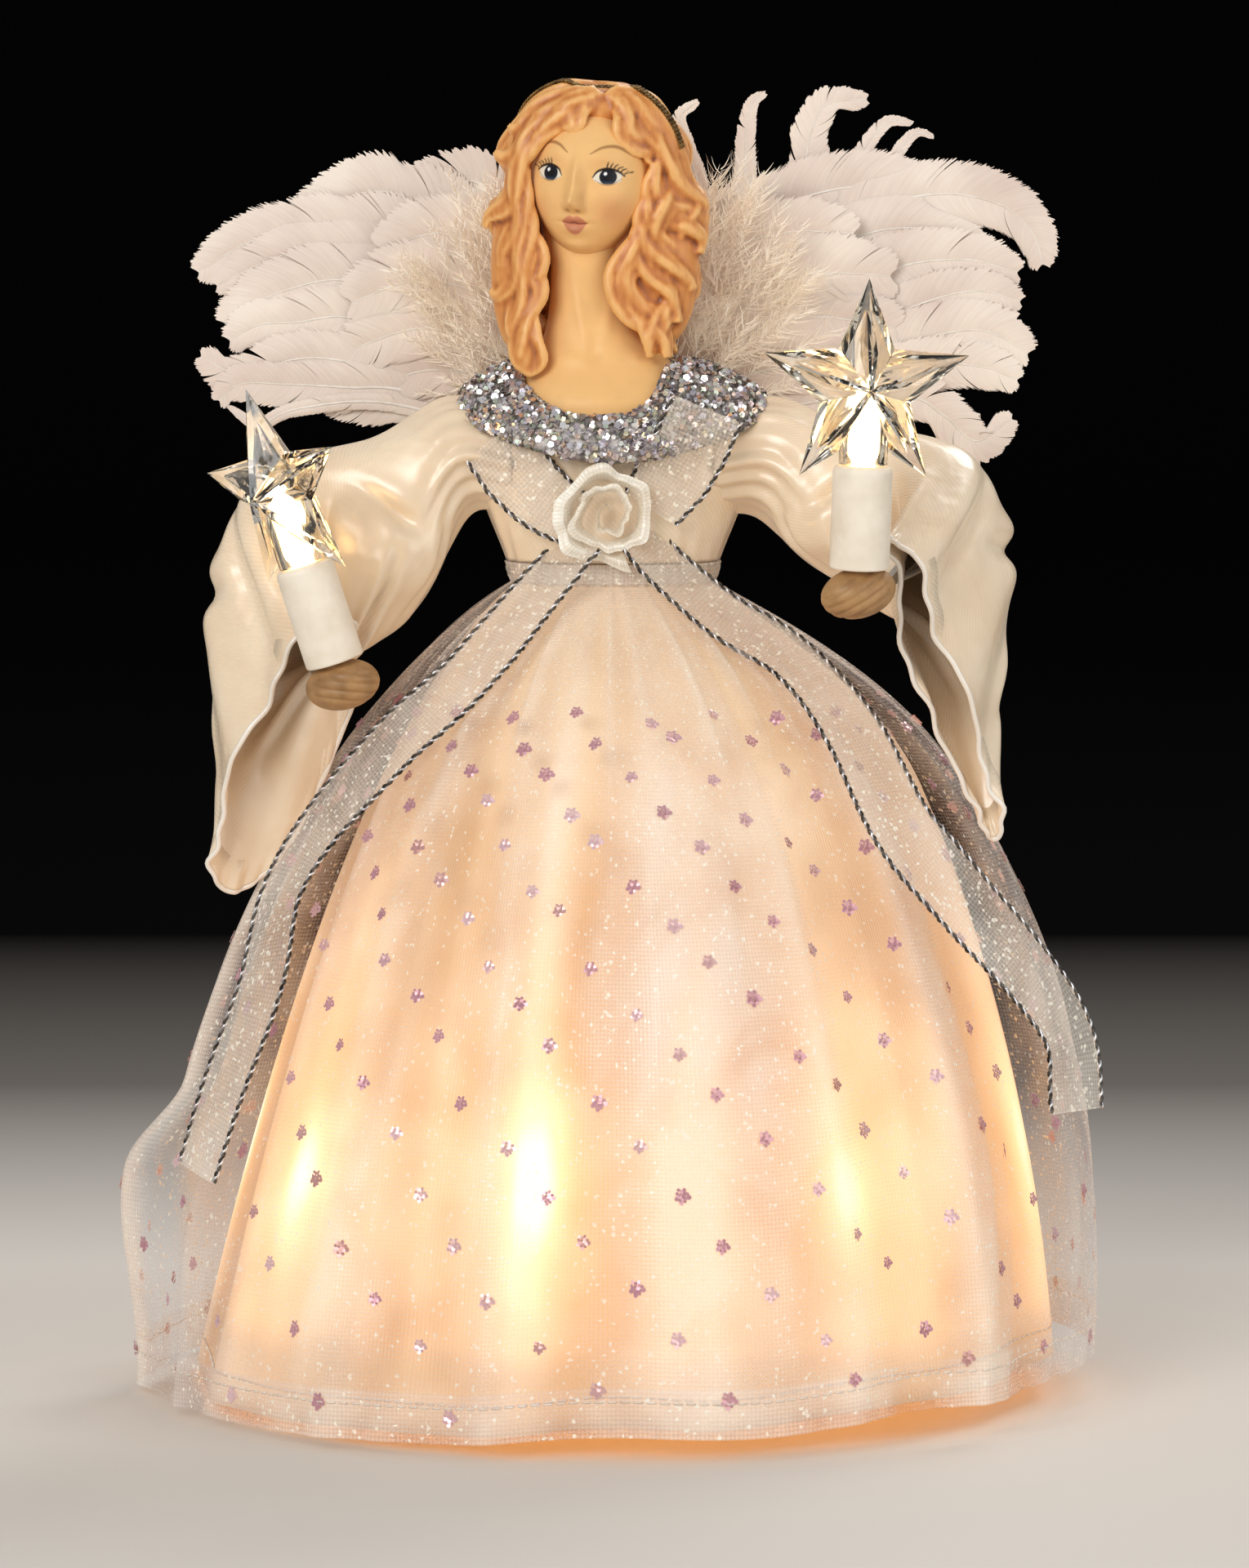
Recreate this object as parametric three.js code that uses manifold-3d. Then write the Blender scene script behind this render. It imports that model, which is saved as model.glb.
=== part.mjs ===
// A lighted angel tree topper: a hollow cone that slips over a treetop carries a dressed torso,
// a painted bust, feather wings and two posable arms, each holding a candle lamp under a clear star.
// Millimetres, +Z up. The origin is the centre of the cone's rim, on the surface it stands on.
// The angel faces -Y. Left and right are those of a viewer who faces the angel.
import * as THREE from "three";
import { mergeVertices } from "three/addons/utils/BufferGeometryUtils.js";
import Module from "manifold-3d";

const wasm = await Module();
wasm.setup();

const TAU = 2 * Math.PI;
const FRONT = -Math.PI / 2;
const MERGE_DISTANCE = 1e-4;

// Clearance between pieces that touch, the wall of one layer of cloth, and the room left under shaped cloth
const GAP = 0.3;
const CLOTH = 0.8;
const EASE = 0.5;

// Base cone
const CONE_HEIGHT = 150;
const CONE_BASE_RADIUS = 52;
const CONE_TOP_RADIUS = 16;
const CONE_WALL = 1.2;
const CONE_LIP_WIDTH = 4;
const CORD_NOTCH_WIDTH = 9;
const CORD_NOTCH_HEIGHT = 6;
const CONE_SIDES = 36;

// Torso former, a plug and a waisted block on top of the cone
const TORSO_HEIGHT = 34.5;
const WAIST_HALF_WIDTH = 17.5;
const WAIST_HALF_DEPTH = 15;
const CHEST_HALF_WIDTH = 25;
const CHEST_HALF_DEPTH = 14.5;
const TORSO_ROUNDNESS = 2.3;
const PLUG_LENGTH = 8;
const LEAD_WELL_RADIUS = 6.2;
const TORSO_SIDES = 28;

// Shoulder joints
const SHOULDER_BALL_RADIUS = 7;
const SHOULDER_OUTSET = 2.5;
const SHOULDER_DROP = 8;

// Bust: chest plate, neck and head
const HEAD_RISE = 42;
const HEAD_HALF_WIDTH = 11.5;
const HEAD_HALF_DEPTH = 13.5;
const HEAD_HALF_HEIGHT = 16;
const HEAD_FORWARD = 2;
const HEAD_YAW = THREE.MathUtils.degToRad(-12);
const CHIN_NARROWING = 0.3;
const NOSE_LENGTH = 2.4;
const BUST_PLATE_HALF_WIDTH = 24;
const BUST_PLATE_HALF_DEPTH = 14.5;
const BUST_PLATE_RISE = 12;
const NECK_RADIUS = 7.2;

// Moulded hair and the band over it
const HAIR_HALF_WIDTH = 19;
const HAIR_HALF_DEPTH = 17.5;
const HAIR_RISE = 22.5;
const HAIR_FALL = 31;
const HAIR_FULLNESS = 2;
const FACE_HALF_WIDTH = 10;
const FACE_TOP = 11;
const LOCK_RADIUS = 3.4;
const LOCK_WAVE = 1.3;
const HEADBAND_RADIUS = 0.8;
const HEADBAND_LEAN = THREE.MathUtils.degToRad(14);

// Glitter collar, by its inner and outer edge
const COLLAR_INNER_HALF_WIDTH = 20;
const COLLAR_OUTER_HALF_WIDTH = 28.5;
const COLLAR_FLARE = 2.6;
const COLLAR_INNER_DIP = 6;
const COLLAR_OUTER_DIP = 10;
const COLLAR_INNER_RISE = 6;
const COLLAR_OUTER_RISE = 2;
const COLLAR_THICKNESS = 2.6;
const COLLAR_REACH = THREE.MathUtils.degToRad(132);

// Skirts, each a bell that leaves the waist along a bezier line
const WAIST_COLLAR_HEIGHT = 5;
const UNDERSKIRT = { hip: 48, knee: 67, kneeHeight: 80, hem: 79, hemHeight: 1, folds: 8, foldDepth: 2.2 };
const OVERSKIRT = { hip: 52, knee: 82, kneeHeight: 80, hem: 87.5, hemHeight: 0.8, folds: 12, foldDepth: 2.4 };
const HIP_DROP = 5;
const SKIRT_LEVELS = 7;
const SKIRT_SIDES = 48;
const WAIST_BAND_THICKNESS = 0.8;
const BAND_APPROACH = 8;

// Ribbons and rose
const RIBBON_THICKNESS = 0.6;
const RIBBON_WIDTH = 14;
const ROSE_RADIUS = 9.6;
const ROSE_DEPTH = 7;
const ROSE_DROP = 17.5;

// Skirt lamps, in a ring round the cone
const LAMP_COUNT = 8;
const LAMP_HEIGHT = 47;
const LAMP_FIRST_AZIMUTH = FRONT - THREE.MathUtils.degToRad(10);
const HOLDER_RADIUS = 3.6;
const HOLDER_FLANGE_RADIUS = 5;
const HOLDER_FLANGE_THICKNESS = 1.2;
const HOLDER_INSIDE_LENGTH = 13;
const HOLDER_OUTSIDE_LENGTH = 3.5;
const BULB_BASE_RADIUS = 2.3;
const BULB_BASE_LENGTH = 7;
const BULB_GLASS_RADIUS = 2.9;
const BULB_GLASS_LENGTH = 12;
const BULB_TIP_LENGTH = 2.5;
const LEAD_RADIUS = 1;
const RING_OPENING = THREE.MathUtils.degToRad(14);

// Arms, hands and candle lamps
const ARM_WIRE_RADIUS = 1.3;
const HAND_HALF_LENGTH = 7;
const HAND_HALF_WIDTH = 6.2;
const HAND_HALF_HEIGHT = 5.4;
const HAND_SEAT = 4.2;
const CANDLE_RADIUS = 5.5;
const CANDLE_LENGTH = 19;
const CANDLE_STEM_RADIUS = 1.9;
const CANDLE_STEM_LENGTH = 11;

// Star covers
const STAR_RADIUS = 20;
const STAR_VALLEY_RADIUS = 8.8;
const STAR_HALF_DEPTH = 7.5;
const STAR_WALL = 1.6;
const STAR_RISE = 14.2;
const STAR_COLLAR_WALL = 1.3;

// Sleeves
const SLEEVE_UPPER_RADIUS = 12;
const SLEEVE_ELBOW_HALF_WIDTH = 15;
const SLEEVE_ELBOW_HALF_HEIGHT = 17;
const SLEEVE_CUFF_HALF_WIDTH = 7;
const SLEEVE_CUFF_RISE = 7;
const SLEEVE_FOLDS = 5;
const SLEEVE_FOLD_DEPTH = 0.8;
const SLEEVE_SIDES = 20;
const SLEEVE_STEPS = 8;

// Wings
const WING_CARD_WIDTH = 40;
const WING_CARD_HEIGHT = 26;
const WING_CARD_THICKNESS = 1.5;
const WING_ROOT_RADIUS = 11;
const FEATHER_LENGTH = 84;
const FEATHER_WIDTH = 18;
const FEATHER_THICKNESS = 1.2;
const FEATHER_STEP = 0.3;
const DOWN_THICKNESS = 6;
const DOWN_HALF_WIDTH = 18;
const DOWN_HALF_HEIGHT = 20;
const DOWN_OUTSET = 29;
const DOWN_RISE = 31;

// Where the two arms differ: the elbow, the hand and the sleeve's tip, from the shoulder joint
const ARM_REACH = 50;
const ARMS = [
  {
    side: "left",
    outward: -1,
    elbow: new THREE.Vector3(-0.7, -0.18, -0.42).multiplyScalar(ARM_REACH),
    hand: new THREE.Vector3(-0.45, -0.62, -0.81).multiplyScalar(ARM_REACH),
    sleeveTip: new THREE.Vector3(-0.96, -0.3, -1.6).multiplyScalar(ARM_REACH),
    candleAxis: new THREE.Vector3(-0.32, -0.06, 1),
    starTurn: THREE.MathUtils.degToRad(-48),
  },
  {
    side: "right",
    outward: 1,
    elbow: new THREE.Vector3(0.68, -0.3, -0.3).multiplyScalar(ARM_REACH),
    hand: new THREE.Vector3(0.35, -0.92, -0.45).multiplyScalar(ARM_REACH),
    sleeveTip: new THREE.Vector3(0.84, -0.54, -1.4).multiplyScalar(ARM_REACH),
    candleAxis: new THREE.Vector3(0.03, -0.08, 1),
    starTurn: THREE.MathUtils.degToRad(8),
  },
];

// Chest ribbon paths as [angle from the front in degrees, share of the way up the torso]
const CHEST_RIBBONS = {
  left: [[-62, 0.77], [-48, 0.69], [-30, 0.51]],
  right: [[54, 0.77], [42, 0.69], [28, 0.51]],
};

// Ribbon tail paths as [angle from the front in degrees, share of the way up the skirt]
const RIBBON_TAILS = {
  left: [[-26, 0.97], [-32, 0.9], [-44, 0.82], [-56, 0.74], [-60, 0.6], [-63, 0.46], [-66, 0.33]],
  right: [[22, 0.97], [34, 0.92], [44, 0.855], [52, 0.765], [60, 0.68], [68, 0.585], [76, 0.465]],
};
const TAIL_LIFT = 5;

// Feather fans as [angle above the horizontal in degrees, share of the length, share of the width]
const FEATHERS = {
  left: [
    [9, 0.79, 0.89],
    [18, 0.88, 0.94],
    [29, 0.98, 1.05],
    [38, 0.98, 1],
    [50, 0.9, 1],
    [63, 0.81, 1],
    [77, 0.71, 0.83],
  ],
  right: [
    [8, 0.76, 0.89],
    [20, 0.86, 0.94],
    [31, 1, 1],
    [42, 1, 1],
    [53, 0.98, 0.78],
    [64, 0.99, 0.67],
    [75, 0.92, 0.56],
    [86, 0.86, 0.44],
  ],
};

// Levels that follow from the sizes above
const TORSO_BOTTOM = CONE_HEIGHT + GAP;
const TORSO_TOP = TORSO_BOTTOM + TORSO_HEIGHT;
const WAIST = TORSO_BOTTOM + WAIST_COLLAR_HEIGHT + GAP;
const SKIRT_TOP = WAIST - WAIST_COLLAR_HEIGHT;
const BUST_BOTTOM = TORSO_TOP + GAP;
const HEAD_CENTRE = new THREE.Vector3(0, -HEAD_FORWARD, BUST_BOTTOM + HEAD_RISE);
const SHOULDER_HEIGHT = TORSO_TOP - SHOULDER_DROP;
const SHOULDER_REACH = CHEST_HALF_WIDTH + SHOULDER_OUTSET;
const BODICE_LEVELS = spread(WAIST + GAP, TORSO_TOP, 6);

const MATERIALS = {
  conePlastic: new THREE.MeshStandardMaterial({ color: 0xf1ece0, roughness: 0.45 }),
  torsoFoam: new THREE.MeshStandardMaterial({ color: 0xefe6d8, roughness: 0.8 }),
  paintedSkin: new THREE.MeshStandardMaterial({ color: 0xedbd85, roughness: 0.4 }),
  paintedHair: new THREE.MeshStandardMaterial({ color: 0xc8823c, roughness: 0.5 }),
  giltBand: new THREE.MeshStandardMaterial({ color: 0x6b4a1f, roughness: 0.35, metalness: 0.8 }),
  glitter: new THREE.MeshStandardMaterial({ color: 0xb9aeb6, roughness: 0.3, metalness: 0.7 }),
  satin: new THREE.MeshStandardMaterial({ color: 0xf3e2d0, roughness: 0.35 }),
  organza: new THREE.MeshStandardMaterial({
    color: 0xe9d6cf,
    roughness: 0.5,
    transparent: true,
    opacity: 0.5,
  }),
  ribbon: new THREE.MeshStandardMaterial({
    color: 0xead6bd,
    roughness: 0.5,
    transparent: true,
    opacity: 0.7,
  }),
  rosette: new THREE.MeshStandardMaterial({ color: 0xf0e4d0, roughness: 0.55 }),
  card: new THREE.MeshStandardMaterial({ color: 0xe8e2d8, roughness: 0.9 }),
  feather: new THREE.MeshStandardMaterial({ color: 0xf2e9e2, roughness: 0.9 }),
  holderPlastic: new THREE.MeshStandardMaterial({ color: 0xf4f1e8, roughness: 0.4 }),
  litGlass: new THREE.MeshStandardMaterial({ color: 0xfff0c8, roughness: 0.1 }),
  clearStar: new THREE.MeshStandardMaterial({
    color: 0xf6ead2,
    roughness: 0.05,
    transparent: true,
    opacity: 0.4,
  }),
  leadInsulation: new THREE.MeshStandardMaterial({ color: 0xeceae2, roughness: 0.5 }),
  armWire: new THREE.MeshStandardMaterial({ color: 0x9a9a9a, roughness: 0.4, metalness: 0.9 }),
  paintedHand: new THREE.MeshStandardMaterial({ color: 0xa8845a, roughness: 0.5 }),
};

const angel = new THREE.Group();

function addPiece(parent, name, geometry, material) {
  const piece = new THREE.Mesh(geometry, material);
  piece.name = name;
  parent.add(piece);
}

// Turns the faces of a closed surface outwards.
function facingOut(geometry) {
  const corners = geometry.attributes.position;
  const faces = geometry.index.array;
  const [a, b, c] = [new THREE.Vector3(), new THREE.Vector3(), new THREE.Vector3()];
  let volume = 0;
  for (let i = 0; i < faces.length; i += 3) {
    a.fromBufferAttribute(corners, faces[i]);
    b.fromBufferAttribute(corners, faces[i + 1]);
    c.fromBufferAttribute(corners, faces[i + 2]);
    volume += a.dot(b.cross(c));
  }
  if (volume < 0) {
    for (let i = 0; i < faces.length; i += 3) {
      [faces[i + 1], faces[i + 2]] = [faces[i + 2], faces[i + 1]];
    }
  }
  return geometry;
}

// A geometry reduced to its places, with the vertices that its faces share merged.
function bare(geometry) {
  const copy = geometry.clone();
  copy.deleteAttribute("normal");
  copy.deleteAttribute("uv");
  return facingOut(mergeVertices(copy, MERGE_DISTANCE));
}

function toSolid(geometry) {
  const merged = bare(geometry);
  return new wasm.Manifold(
    new wasm.Mesh({
      numProp: 3,
      vertProperties: merged.attributes.position.array,
      triVerts: new Uint32Array(merged.index.array),
    }),
  );
}

function toGeometry(solid) {
  const mesh = solid.getMesh();
  return new THREE.BufferGeometry()
    .setAttribute("position", new THREE.BufferAttribute(new Float32Array(mesh.vertProperties), 3))
    .setIndex(new THREE.BufferAttribute(new Uint32Array(mesh.triVerts), 1));
}

// A closed surface over a stack of loops. A cycle joins the last loop to the first,
// which gives a tube a wall; otherwise a fan of triangles closes each end.
function loft(loops, isCycle = false) {
  const sides = loops[0].length;
  const places = loops.flat().flatMap((point) => point.toArray());
  const faces = [];
  const bands = isCycle ? loops.length : loops.length - 1;
  for (let band = 0; band < bands; band++) {
    const here = band * sides;
    const next = ((band + 1) % loops.length) * sides;
    for (let side = 0; side < sides; side++) {
      const after = (side + 1) % sides;
      faces.push(here + side, here + after, next + after);
      faces.push(here + side, next + after, next + side);
    }
  }
  if (!isCycle) {
    for (const [loop, turn] of [[0, 1], [loops.length - 1, -1]]) {
      const middle = places.length / 3;
      const centre = new THREE.Vector3();
      loops[loop].forEach((point) => centre.addScaledVector(point, 1 / sides));
      places.push(...centre.toArray());
      for (let side = 0; side < sides; side++) {
        const ends = [loop * sides + ((side + 1) % sides), loop * sides + side];
        faces.push(middle, ...(turn > 0 ? ends : ends.reverse()));
      }
    }
  }
  const geometry = new THREE.BufferGeometry();
  geometry.setAttribute("position", new THREE.Float32BufferAttribute(places, 3));
  geometry.setIndex(faces);
  return facingOut(geometry);
}

// A shape turned about the Z axis from [radius, height] points.
function turned(profile, sides) {
  const points = profile.map(([radius, height]) => new THREE.Vector2(radius, height));
  return new THREE.LatheGeometry(points, sides).rotateX(Math.PI / 2);
}

function rod(from, to, radius, sides = 12) {
  const along = new THREE.Vector3().subVectors(to, from);
  const middle = new THREE.Vector3().addVectors(from, to).multiplyScalar(0.5);
  const upright = new THREE.CylinderGeometry(radius, radius, along.length(), sides);
  const turn = new THREE.Quaternion().setFromUnitVectors(new THREE.Vector3(0, 1, 0), along.normalize());
  return upright.applyQuaternion(turn).translate(...middle);
}

function ball(centre, radius, sides = 18) {
  return new THREE.SphereGeometry(radius, sides, sides / 2).translate(...centre);
}

// A round wire along a smooth line through the points.
function wire(points, radius, steps, sides = 6) {
  const section = new THREE.Shape().absarc(0, 0, radius, 0, TAU);
  const extrudePath = new THREE.CatmullRomCurve3(points, false, "centripetal");
  const settings = { steps, extrudePath, bevelEnabled: false, curveSegments: sides / 2 };
  return new THREE.ExtrudeGeometry(section, settings);
}

// Distance from the axis to an oval whose corners fill out as the power rises past 2.
function ovalRadius(angle, halfWidth, halfDepth, power = 2) {
  const across = Math.abs(Math.cos(angle) / halfWidth) ** power;
  const back = Math.abs(Math.sin(angle) / halfDepth) ** power;
  return (across + back) ** (-1 / power);
}

function polar(angle, radius, height) {
  return new THREE.Vector3(radius * Math.cos(angle), radius * Math.sin(angle), height);
}

// One loop of a surface that is given by its distance from the axis at an angle and height.
function levelLoop(radiusAt, height, sides, outset = 0) {
  return Array.from({ length: sides }, (_, i) => {
    const angle = (TAU * i) / sides;
    return polar(angle, radiusAt(angle, height) + outset, height);
  });
}

// A walled tube between two offsets of such a surface.
function levelShell(radiusAt, heights, sides, inset, thickness) {
  const outer = heights.map((height) => levelLoop(radiusAt, height, sides, inset + thickness));
  const inner = heights.map((height) => levelLoop(radiusAt, height, sides, inset));
  return loft([...outer, ...inner.reverse()], true);
}

function spread(from, to, count) {
  return Array.from({ length: count }, (_, i) => from + ((to - from) * i) / (count - 1));
}

function coneRadius(height) {
  return THREE.MathUtils.lerp(CONE_BASE_RADIUS, CONE_TOP_RADIUS, height / CONE_HEIGHT);
}

function torsoRadius(angle, height) {
  const rise = THREE.MathUtils.smoothstep(height, TORSO_BOTTOM, TORSO_TOP - SHOULDER_DROP);
  const halfWidth = THREE.MathUtils.lerp(WAIST_HALF_WIDTH, CHEST_HALF_WIDTH, rise);
  const halfDepth = THREE.MathUtils.lerp(WAIST_HALF_DEPTH, CHEST_HALF_DEPTH, rise);
  return ovalRadius(angle, halfWidth, halfDepth, TORSO_ROUNDNESS);
}

function shoulder(arm) {
  return new THREE.Vector3(arm.outward * SHOULDER_REACH, 0, SHOULDER_HEIGHT);
}

// The cone's outward normal at the lamps leans up by the slope of its wall.
const WALL_LEAN = Math.atan2(CONE_BASE_RADIUS - CONE_TOP_RADIUS, CONE_HEIGHT);

function lampAzimuth(index) {
  return LAMP_FIRST_AZIMUTH + (TAU * index) / LAMP_COUNT;
}

// A group on the cone's wall whose Z axis points out along the wall's normal.
function lampSeat(index) {
  const seat = new THREE.Group();
  seat.position.copy(polar(lampAzimuth(index), coneRadius(LAMP_HEIGHT), LAMP_HEIGHT));
  seat.rotation.set(0, Math.PI / 2 - WALL_LEAN, lampAzimuth(index), "ZYX");
  return seat;
}

function buildBaseCone() {
  const lipTop = CONE_WALL;
  const wall = turned(
    [
      [CONE_BASE_RADIUS - CONE_LIP_WIDTH, 0],
      [CONE_BASE_RADIUS, 0],
      [CONE_TOP_RADIUS, CONE_HEIGHT],
      [CONE_TOP_RADIUS - CONE_WALL, CONE_HEIGHT],
      [coneRadius(lipTop) - CONE_WALL, lipTop],
      [CONE_BASE_RADIUS - CONE_LIP_WIDTH, lipTop],
      [CONE_BASE_RADIUS - CONE_LIP_WIDTH, 0],
    ],
    CONE_SIDES,
  );
  let cone = toSolid(wall);
  for (let index = 0; index < LAMP_COUNT; index++) {
    const seat = lampSeat(index);
    seat.updateMatrix();
    const reach = new THREE.Vector3(0, 0, HOLDER_INSIDE_LENGTH);
    const drill = rod(reach.clone().negate(), reach, HOLDER_RADIUS + GAP, 8);
    cone = cone.subtract(toSolid(drill.applyMatrix4(seat.matrix)));
  }
  const notch = new THREE.BoxGeometry(CORD_NOTCH_WIDTH, 2 * CONE_BASE_RADIUS, 2 * CORD_NOTCH_HEIGHT);
  cone = cone.subtract(toSolid(notch.translate(0, CONE_BASE_RADIUS, 0)));
  addPiece(angel, "base_cone", toGeometry(cone), MATERIALS.conePlastic);
}

function buildTorsoFormer() {
  const plugRadius = CONE_TOP_RADIUS - CONE_WALL - GAP;
  const plug = () => plugRadius;
  const loops = [
    levelLoop(plug, CONE_HEIGHT - PLUG_LENGTH, TORSO_SIDES),
    levelLoop(plug, TORSO_BOTTOM, TORSO_SIDES),
    ...[TORSO_BOTTOM, ...BODICE_LEVELS].map((height) => levelLoop(torsoRadius, height, TORSO_SIDES)),
  ];
  let former = toSolid(loft(loops));
  const wellFoot = new THREE.Vector3(0, 0, CONE_HEIGHT - PLUG_LENGTH - 1);
  const wellTop = new THREE.Vector3(0, 0, SHOULDER_HEIGHT + LEAD_RADIUS + GAP);
  former = former.subtract(toSolid(rod(wellFoot, wellTop, LEAD_WELL_RADIUS)));
  former = former.subtract(toSolid(rod(shoulder(ARMS[0]), shoulder(ARMS[1]), LEAD_RADIUS + 3 * GAP)));
  for (const arm of ARMS) {
    former = former.subtract(toSolid(ball(shoulder(arm), SHOULDER_BALL_RADIUS + GAP)));
  }
  addPiece(angel, "torso_former", toGeometry(former), MATERIALS.torsoFoam);
}

// The bust grown by an outset, so that what lies over it can be cut to clear it.
function bustSolid(outset) {
  const sides = 20;
  const plate = (share, rise) => {
    const halfWidth = THREE.MathUtils.lerp(NECK_RADIUS, BUST_PLATE_HALF_WIDTH, share) + outset;
    const halfDepth = THREE.MathUtils.lerp(NECK_RADIUS, BUST_PLATE_HALF_DEPTH, share) + outset;
    return levelLoop((angle) => ovalRadius(angle, halfWidth, halfDepth), BUST_BOTTOM + rise, sides);
  };
  const slope = spread(0, 1, 5);
  const loops = [
    plate(1, -outset),
    ...slope.map((s) => plate(0.5 + 0.5 * Math.cos(Math.PI * s), BUST_PLATE_RISE * s)),
    plate(0, HEAD_RISE - HEAD_HALF_HEIGHT / 2),
  ];
  const head = new THREE.SphereGeometry(1, 16, 12).rotateX(Math.PI / 2);
  const corners = head.attributes.position;
  for (let i = 0; i < corners.count; i++) {
    const [x, y, z] = [corners.getX(i), corners.getY(i), corners.getZ(i)];
    const jaw = 1 - CHIN_NARROWING * THREE.MathUtils.smoothstep(-z, 0, 1);
    const across = x * jaw * (HEAD_HALF_WIDTH + outset);
    corners.setXYZ(i, across, y * (HEAD_HALF_DEPTH + outset), z * (HEAD_HALF_HEIGHT + outset));
  }
  const nose = new THREE.ConeGeometry(NOSE_LENGTH * 0.7, NOSE_LENGTH * 3, 8);
  nose.rotateX(Math.PI / 2 + Math.PI / 2.6);
  nose.translate(0, -HEAD_HALF_DEPTH + NOSE_LENGTH * 0.2, -NOSE_LENGTH * 0.4);
  const place = new THREE.Matrix4().makeRotationZ(HEAD_YAW).setPosition(HEAD_CENTRE);
  const skull = toSolid(head.applyMatrix4(place)).add(toSolid(nose.applyMatrix4(place)));
  return toSolid(loft(loops)).add(skull);
}

function buildBust() {
  addPiece(angel, "bust", toGeometry(bustSolid(0)), MATERIALS.paintedSkin);
}

// A tapered lock of hair that waves from side to side on its way down.
function hairLock(top, foot, radius) {
  const steps = 8;
  const sides = 6;
  const loops = spread(0, 1, steps).map((s) => {
    const centre = new THREE.Vector3().lerpVectors(top, foot, s);
    centre.x += LOCK_WAVE * Math.sin(2.5 * TAU * s) * Math.sign(top.x);
    const girth = radius * (0.75 + 0.35 * Math.sin(Math.PI * s)) * (1 - 0.55 * s * s);
    return Array.from({ length: sides }, (_, i) => {
      const angle = (TAU * i) / sides;
      return polar(angle, girth, 0).add(centre);
    });
  });
  return toSolid(loft(loops));
}

function buildHair() {
  const sides = 20;
  const crown = spread(0, 0.46, 5).map((s) => [HAIR_RISE * Math.sin(s * Math.PI), Math.cos(s * Math.PI), 0]);
  const fall = spread(-1, -0.2, 5).map((s) => {
    const puff = HAIR_FULLNESS * Math.sin(-Math.PI * s);
    return [HAIR_FALL * s, 1 - 0.3 * s * s, puff];
  });
  const loops = [...fall, ...crown].map(([height, share, puff]) =>
    levelLoop(
      (angle) => ovalRadius(angle, HAIR_HALF_WIDTH * share + puff, HAIR_HALF_DEPTH * share + puff / 2),
      height,
      sides,
    ),
  );
  let hair = toSolid(loft(loops));
  for (const hand of [-1, 1]) {
    for (const [out, forward] of [[FACE_HALF_WIDTH + 2, 11], [FACE_HALF_WIDTH + 7, 5]]) {
      const top = new THREE.Vector3(hand * out, -forward, 0);
      const foot = new THREE.Vector3(hand * out, -forward, -HAIR_FALL - 2);
      hair = hair.add(hairLock(top, foot, LOCK_RADIUS));
    }
  }
  const window = new THREE.Shape()
    .moveTo(-FACE_HALF_WIDTH, -2 * HAIR_FALL)
    .lineTo(FACE_HALF_WIDTH, -2 * HAIR_FALL)
    .lineTo(FACE_HALF_WIDTH, FACE_TOP - FACE_HALF_WIDTH)
    .absarc(0, FACE_TOP - FACE_HALF_WIDTH, FACE_HALF_WIDTH, 0, Math.PI);
  const cut = { depth: 3 * HEAD_HALF_DEPTH, bevelEnabled: false, curveSegments: 8 };
  const opening = new THREE.ExtrudeGeometry(window, cut).rotateX(Math.PI / 2);
  hair = hair.subtract(toSolid(opening));
  const place = new THREE.Matrix4().makeRotationZ(HEAD_YAW).setPosition(HEAD_CENTRE);
  const placed = toSolid(toGeometry(hair).applyMatrix4(place));
  addPiece(angel, "moulded_hair", toGeometry(placed.subtract(bustSolid(GAP))), MATERIALS.paintedHair);
}

function buildHeadband() {
  const lift = GAP + HEADBAND_RADIUS;
  const points = spread(0.06, 0.94, 17).map((s) => {
    const turn = Math.PI * s;
    const across = (HAIR_HALF_WIDTH + lift) * Math.cos(turn);
    const up = (HAIR_RISE + lift) * Math.sin(turn);
    return new THREE.Vector3(across, up * Math.sin(HEADBAND_LEAN), up * Math.cos(HEADBAND_LEAN));
  });
  const place = new THREE.Matrix4().makeRotationZ(HEAD_YAW).setPosition(HEAD_CENTRE);
  addPiece(angel, "headband", wire(points, HEADBAND_RADIUS, 22).applyMatrix4(place), MATERIALS.giltBand);
}

// The collar dips to the front and ends behind the shoulders.
// Its section runs from the inner edge over a rounded top to the outer edge.
function buildCollar() {
  const steps = 26;
  const loops = spread(FRONT - COLLAR_REACH, FRONT + COLLAR_REACH, steps).map((angle) => {
    const toFront = Math.max(0, -Math.sin(angle)) ** 2;
    const edge = (halfWidth, halfDepth, rise) =>
      polar(angle, ovalRadius(angle, halfWidth, halfDepth, TORSO_ROUNDNESS), BUST_BOTTOM + rise);
    const halfDepth = CHEST_HALF_DEPTH + 2 * EASE + CLOTH;
    const innerRise = COLLAR_INNER_RISE - COLLAR_INNER_DIP * toFront;
    const outerRise = COLLAR_OUTER_RISE - COLLAR_OUTER_DIP * toFront;
    const inner = edge(COLLAR_INNER_HALF_WIDTH, halfDepth, innerRise);
    const outer = edge(COLLAR_OUTER_HALF_WIDTH, halfDepth + COLLAR_FLARE, outerRise);
    const fall = new THREE.Vector3().subVectors(outer, inner);
    const around = new THREE.Vector3(-Math.sin(angle), Math.cos(angle), 0);
    const out = new THREE.Vector3().crossVectors(around, fall).normalize().multiplyScalar(-COLLAR_THICKNESS);
    const crest = (share, lift) => inner.clone().addScaledVector(fall, share).addScaledVector(out, lift);
    return [inner, crest(0.15, 0.7), crest(0.5, 1), crest(0.85, 0.8), outer, crest(0.5, 0)];
  });
  addPiece(angel, "glitter_collar", loft(loops), MATERIALS.glitter);
}

function bodiceRadius(angle, height) {
  return torsoRadius(angle, height) + EASE + CLOTH;
}

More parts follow.
